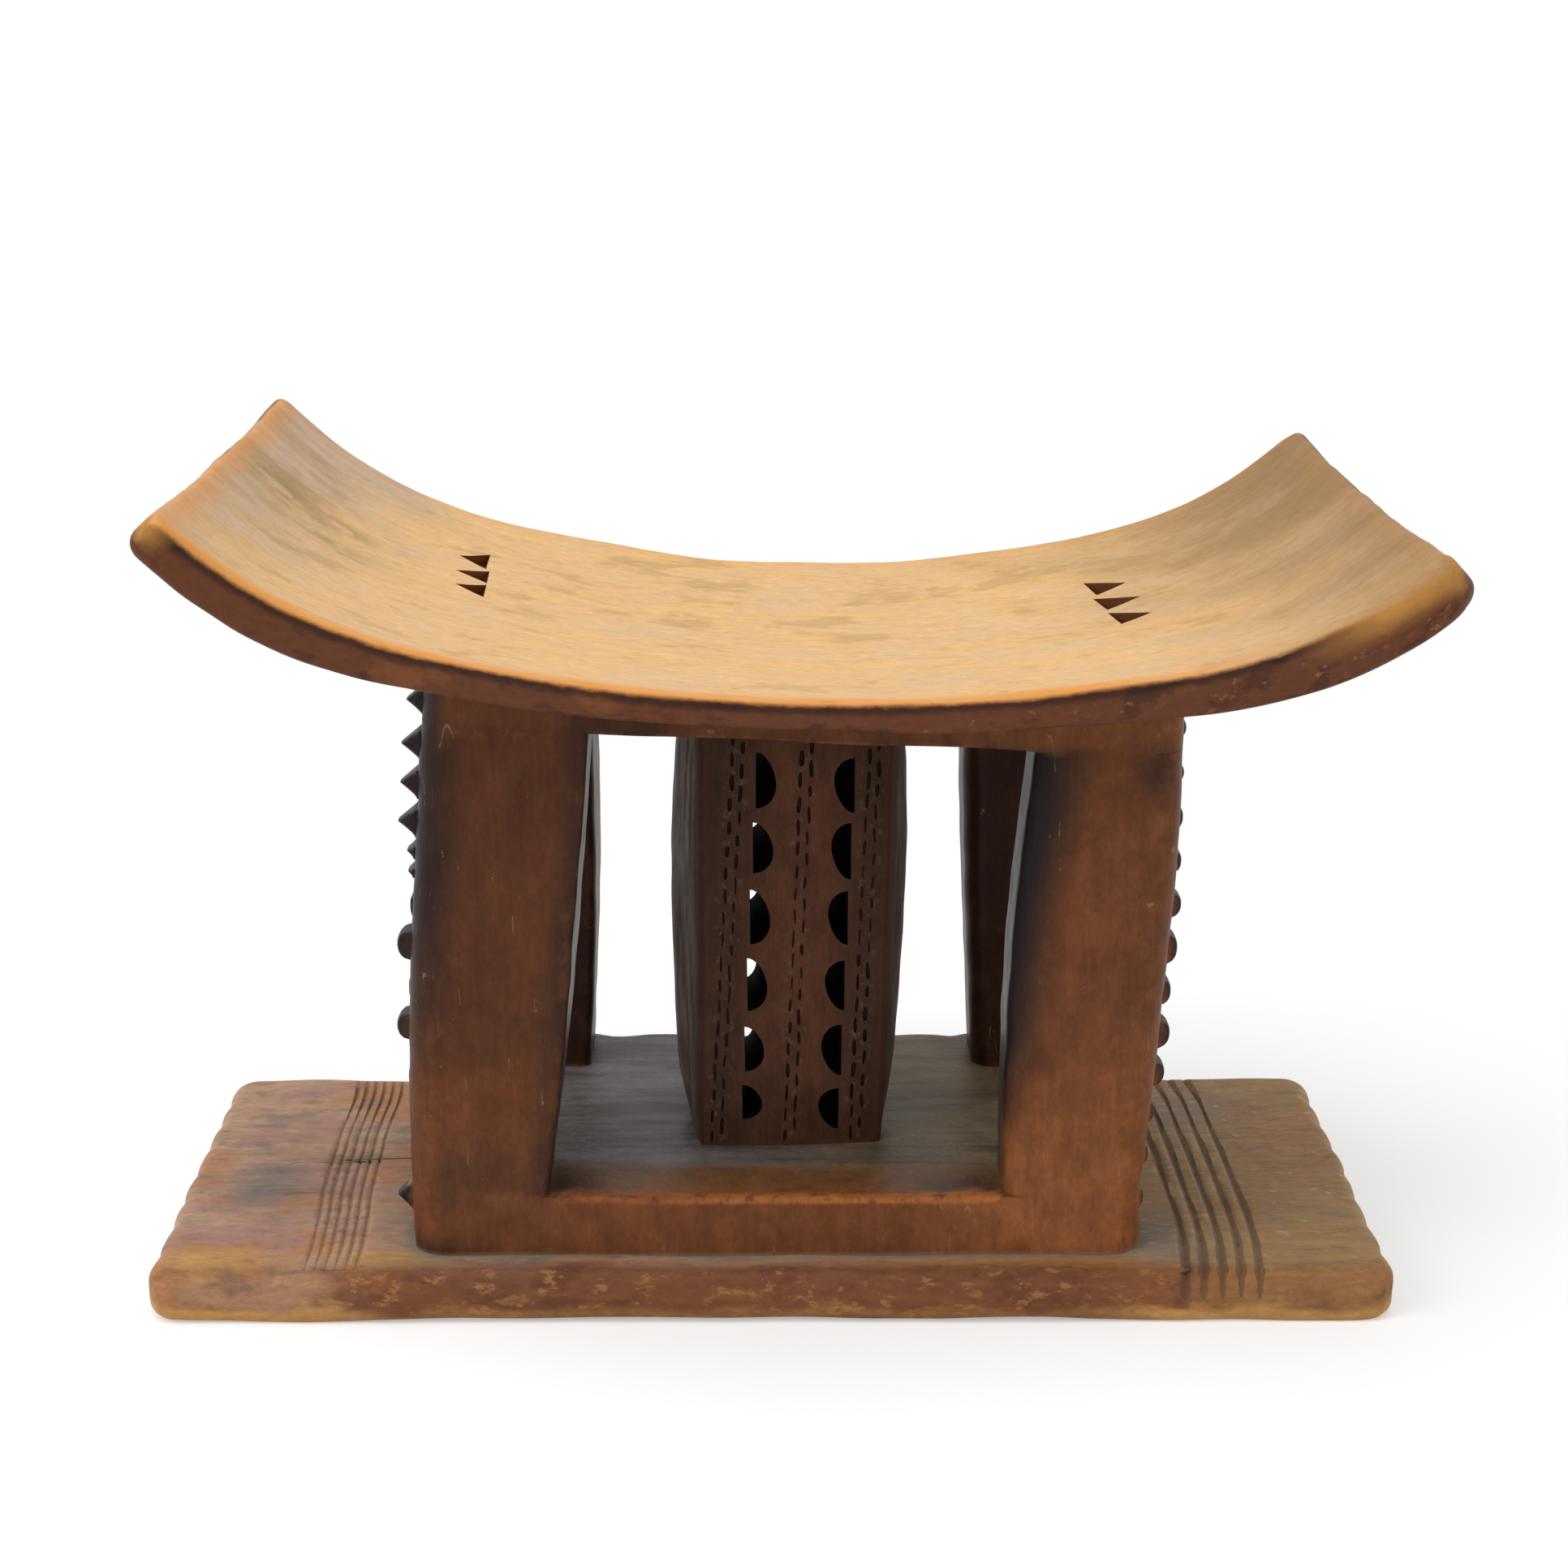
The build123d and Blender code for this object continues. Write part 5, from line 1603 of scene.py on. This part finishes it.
    def store_places(self, mesh):
        """Keeps where each point is: along the seat, across it, and below its rim."""
        sizes = bpy.context.scene.stool_seat
        rotation, place = seat_turn()
        hub, turn, end, half = seat_shape()
        x, y, z = ((points_of(mesh) - place) @ rotation).T
        gentle = np.arctan2(x, sizes.middle_radius - z)
        side = np.sign(x)
        end_x, end_z = hub * math.sin(turn), sizes.middle_radius - hub * math.cos(turn)
        tight = side * np.arctan2(np.abs(x) - end_x, end_z - z)
        in_middle = np.abs(gentle) < turn
        slope = np.where(in_middle, gentle, tight)
        arc = sizes.middle_radius * turn
        along = side * (arc + sizes.end_radius * (np.abs(tight) - turn))
        along = np.where(in_middle, sizes.middle_radius * gentle, along)
        across = y / seat_half_depth(x)
        depth = np.where(
            in_middle,
            np.hypot(x, sizes.middle_radius - z) - sizes.middle_radius,
            np.hypot(np.abs(x) - end_x, end_z - z) - sizes.end_radius,
        )
        for name, values in (("along", along), ("across", across), ("deep", depth)):
            store(mesh, name, values)
        normals = np.empty(len(x) * 3)
        mesh.vertices.foreach_get("normal", normals)
        normals = normals.reshape(-1, 3) @ rotation
        up = normals[:, 2] * np.cos(slope) - normals[:, 0] * np.sin(slope)
        below = depth - sizes.dish * (1 - across**2)
        from_edge = (1 - np.abs(across)) * seat_half_depth(x)
        hollow = np.where(along < 0, sizes.left_hollow, sizes.right_hollow) * (1 - across**2)
        from_end = half - np.abs(along) - hollow
        inward = np.minimum(from_edge, from_end)
        underneath = (up < -0.3) & (below > 8 * MM)
        rim = np.where(underneath, 20 * MM, below - inward)
        pocket = (below > 0.8 * MM) & (inward > 20 * MM) & ~underneath
        rim = np.where(pocket, -inward, rim)
        store(mesh, "rim", rim)
        # Where the rim's golden band shows: partly wear, partly a painted highlight.
        in_front = smooth_step(-across * 3)
        front_rim = in_front * (from_edge < from_end) * (1 - 0.9 * smooth_step((along - 0.11) / 0.1))
        back = smooth_step(across * 3) * (from_edge < from_end)
        ends = (from_end < from_edge) * np.where(along < 0, 0.6, 0.08)
        store(mesh, "worn_rim", np.clip(front_rim + 0.2 * back + ends, 0, 1))
        store(mesh, "right_half", smooth_step(along / 0.08))
        spread = uneven(points_of(mesh), 70 * MM, 31) * 0.02 + 0.035 * across
        store(mesh, "left_end", smooth_step((-along - 0.165 + spread) / 0.1))
        # Right end darker: partly patina, partly painted shade.
        store(mesh, "right_end", smooth_step((along - 0.09 + spread) / 0.19))
        world = points_of(mesh)
        stain = spot(world, (-218, 30, 335), (16, 16, 30)) + spot(world, (-190, 22, 325), (12, 12, 30))
        stain += 0.7 * spot(world, (-190, -5, 320), (18, 9, 30))
        store(mesh, "stain", np.clip(stain, 0, 1))
        golden = smooth_step((along - half + 75 * MM) / (50 * MM)) * in_front
        golden += 0.8 * smooth_step((-along - half + 16 * MM) / (14 * MM)) * in_front
        golden += ends * 0.5 * (along < 0)
        golden *= smooth_step((13 * MM - rim) / (8 * MM))
        store(mesh, "golden", np.clip(golden, 0, 1))


class STOOL_OT_stage(bpy.types.Operator):
    """Sets the floor, the studio light and the camera"""

    bl_idname = "stool.stage"
    bl_label = "Floor, light and camera"

    def execute(self, context):
        scene = context.scene
        self.floor(scene.stool_stage)
        self.lamps(scene.stool_stage)
        self.camera(scene)
        self.sky(scene, scene.stool_stage)
        scene.view_settings.view_transform = "Standard"
        return {"FINISHED"}

    def floor(self, stage):
        half = stage.floor_length / 2
        points = np.array([(-half, -half, 0), (half, -half, 0), (half, half, 0), (-half, half, 0)])
        floor = new_piece("floor", points, np.array([[0, 1, 2, 3]]))
        finish = Finish("floor")
        seen = finish.node("LightPath", {}, {}, "Is Camera Ray")
        for ray in ("Is Glossy Ray", "Is Transmission Ray"):
            seen = (seen + finish.node("LightPath", {}, {}, ray)).clipped()
        away = finish.node("VectorMath", {"operation": "LENGTH"}, {0: finish.place}, "Value")
        pale = finish.node("BsdfDiffuse", {}, {"Color": (0.82, 0.82, 0.82, 1)})
        glow = finish.node("Emission", {}, {"Strength": seen * stage.floor_glow})
        white = finish.node("Emission", {}, {"Strength": 1.0})
        near = finish.node("AddShader", {}, {0: pale, 1: glow})
        faded = seen * away.rising(stage.shadow_start, stage.shadow_end)
        mixed = finish.node("MixShader", {}, {0: faded, 1: near, 2: white})
        finish.shown(mixed)
        floor.data.materials.append(finish.material)

    def lamps(self, stage):
        for name, place, power, size in (
            ("lamp_over", (-0.3, -0.1, 1.9), stage.over_power, 1.7),
            ("lamp_left", (-1.6, -1.0, 1.3), stage.left_power, 1.1),
            ("lamp_right", (1.6, -1.2, 0.9), stage.right_power, 1.1),
        ):
            lamp = bpy.data.lights.new(name, "AREA")
            lamp.energy = power
            lamp.size = size
            holder = bpy.data.objects.new(name, lamp)
            bpy.context.scene.collection.objects.link(holder)
            holder.location = place
            aim = Vector((0, 0, 0.18)) - holder.location
            holder.rotation_euler = aim.to_track_quat("-Z", "Y").to_euler()

    def camera(self, scene):
        view = bpy.data.cameras.new("camera")
        view.lens = 64.38
        view.sensor_width = 36.0
        view.sensor_fit = "HORIZONTAL"
        camera = bpy.data.objects.new("camera", view)
        scene.collection.objects.link(camera)
        camera.location = (0.0015, -1.21025, 0.558)
        camera.rotation_euler = (math.radians(90 - 16.1), 0.0, math.radians(-0.216))
        scene.camera = camera

    def sky(self, scene, stage):
        """White where it is seen, and a soft even light on the stool."""
        world = bpy.data.worlds.new("studio")
        world.use_nodes = True
        nodes, links = world.node_tree.nodes, world.node_tree.links
        nodes["Background"].inputs["Color"].default_value = (1, 1, 1, 1)
        path = nodes.new("ShaderNodeLightPath")
        strength = nodes.new("ShaderNodeMapRange")
        strength.inputs["To Min"].default_value = stage.sky_strength
        strength.inputs["To Max"].default_value = 1.0
        seen = path.outputs["Is Camera Ray"]
        for ray in ("Is Glossy Ray", "Is Transmission Ray"):
            either = nodes.new("ShaderNodeMath")
            either.operation = "ADD"
            either.use_clamp = True
            links.new(seen, either.inputs[0])
            links.new(path.outputs[ray], either.inputs[1])
            seen = either.outputs[0]
        links.new(seen, strength.inputs["Value"])
        links.new(strength.outputs["Result"], nodes["Background"].inputs["Strength"])
        scene.world = world


class STOOL_PT_panel(bpy.types.Panel):
    """Lists the stool's members, with what can be changed about each"""

    bl_label = "Asante Stool"
    bl_space_type = "VIEW_3D"
    bl_region_type = "UI"
    bl_category = "Stool"

    def draw(self, context):
        for operator in MEMBERS:
            self.layout.operator(operator.bl_idname)
        for name in SETTINGS:
            box = self.layout.box()
            group = getattr(context.scene, name)
            for setting in group.__annotations__:
                box.prop(group, setting)


SETTINGS = {
    "stool_base": BaseSizes,
    "stool_support": SupportSizes,
    "stool_column": ColumnSizes,
    "stool_seat": SeatSizes,
    "stool_colours": WoodColours,
    "stool_stage": StageSettings,
}
MEMBERS = (
    STOOL_OT_base,
    STOOL_OT_plinth,
    STOOL_OT_legs,
    STOOL_OT_under_block,
    STOOL_OT_column,
    STOOL_OT_seat,
    STOOL_OT_stage,
)


def register():
    for group in (*SETTINGS.values(), *MEMBERS, STOOL_PT_panel):
        bpy.utils.register_class(group)
    for name, group in SETTINGS.items():
        setattr(bpy.types.Scene, name, bpy.props.PointerProperty(type=group))


def unregister():
    for name in SETTINGS:
        delattr(bpy.types.Scene, name)
    for group in reversed((*SETTINGS.values(), *MEMBERS, STOOL_PT_panel)):
        bpy.utils.unregister_class(group)


def main():
    register()
    bpy.ops.stool.stage()
    bpy.ops.stool.base()
    bpy.ops.stool.plinth()
    bpy.ops.stool.legs()
    bpy.ops.stool.under_block()
    bpy.ops.stool.column()
    bpy.ops.stool.seat()


if __name__ == "__main__":
    main()
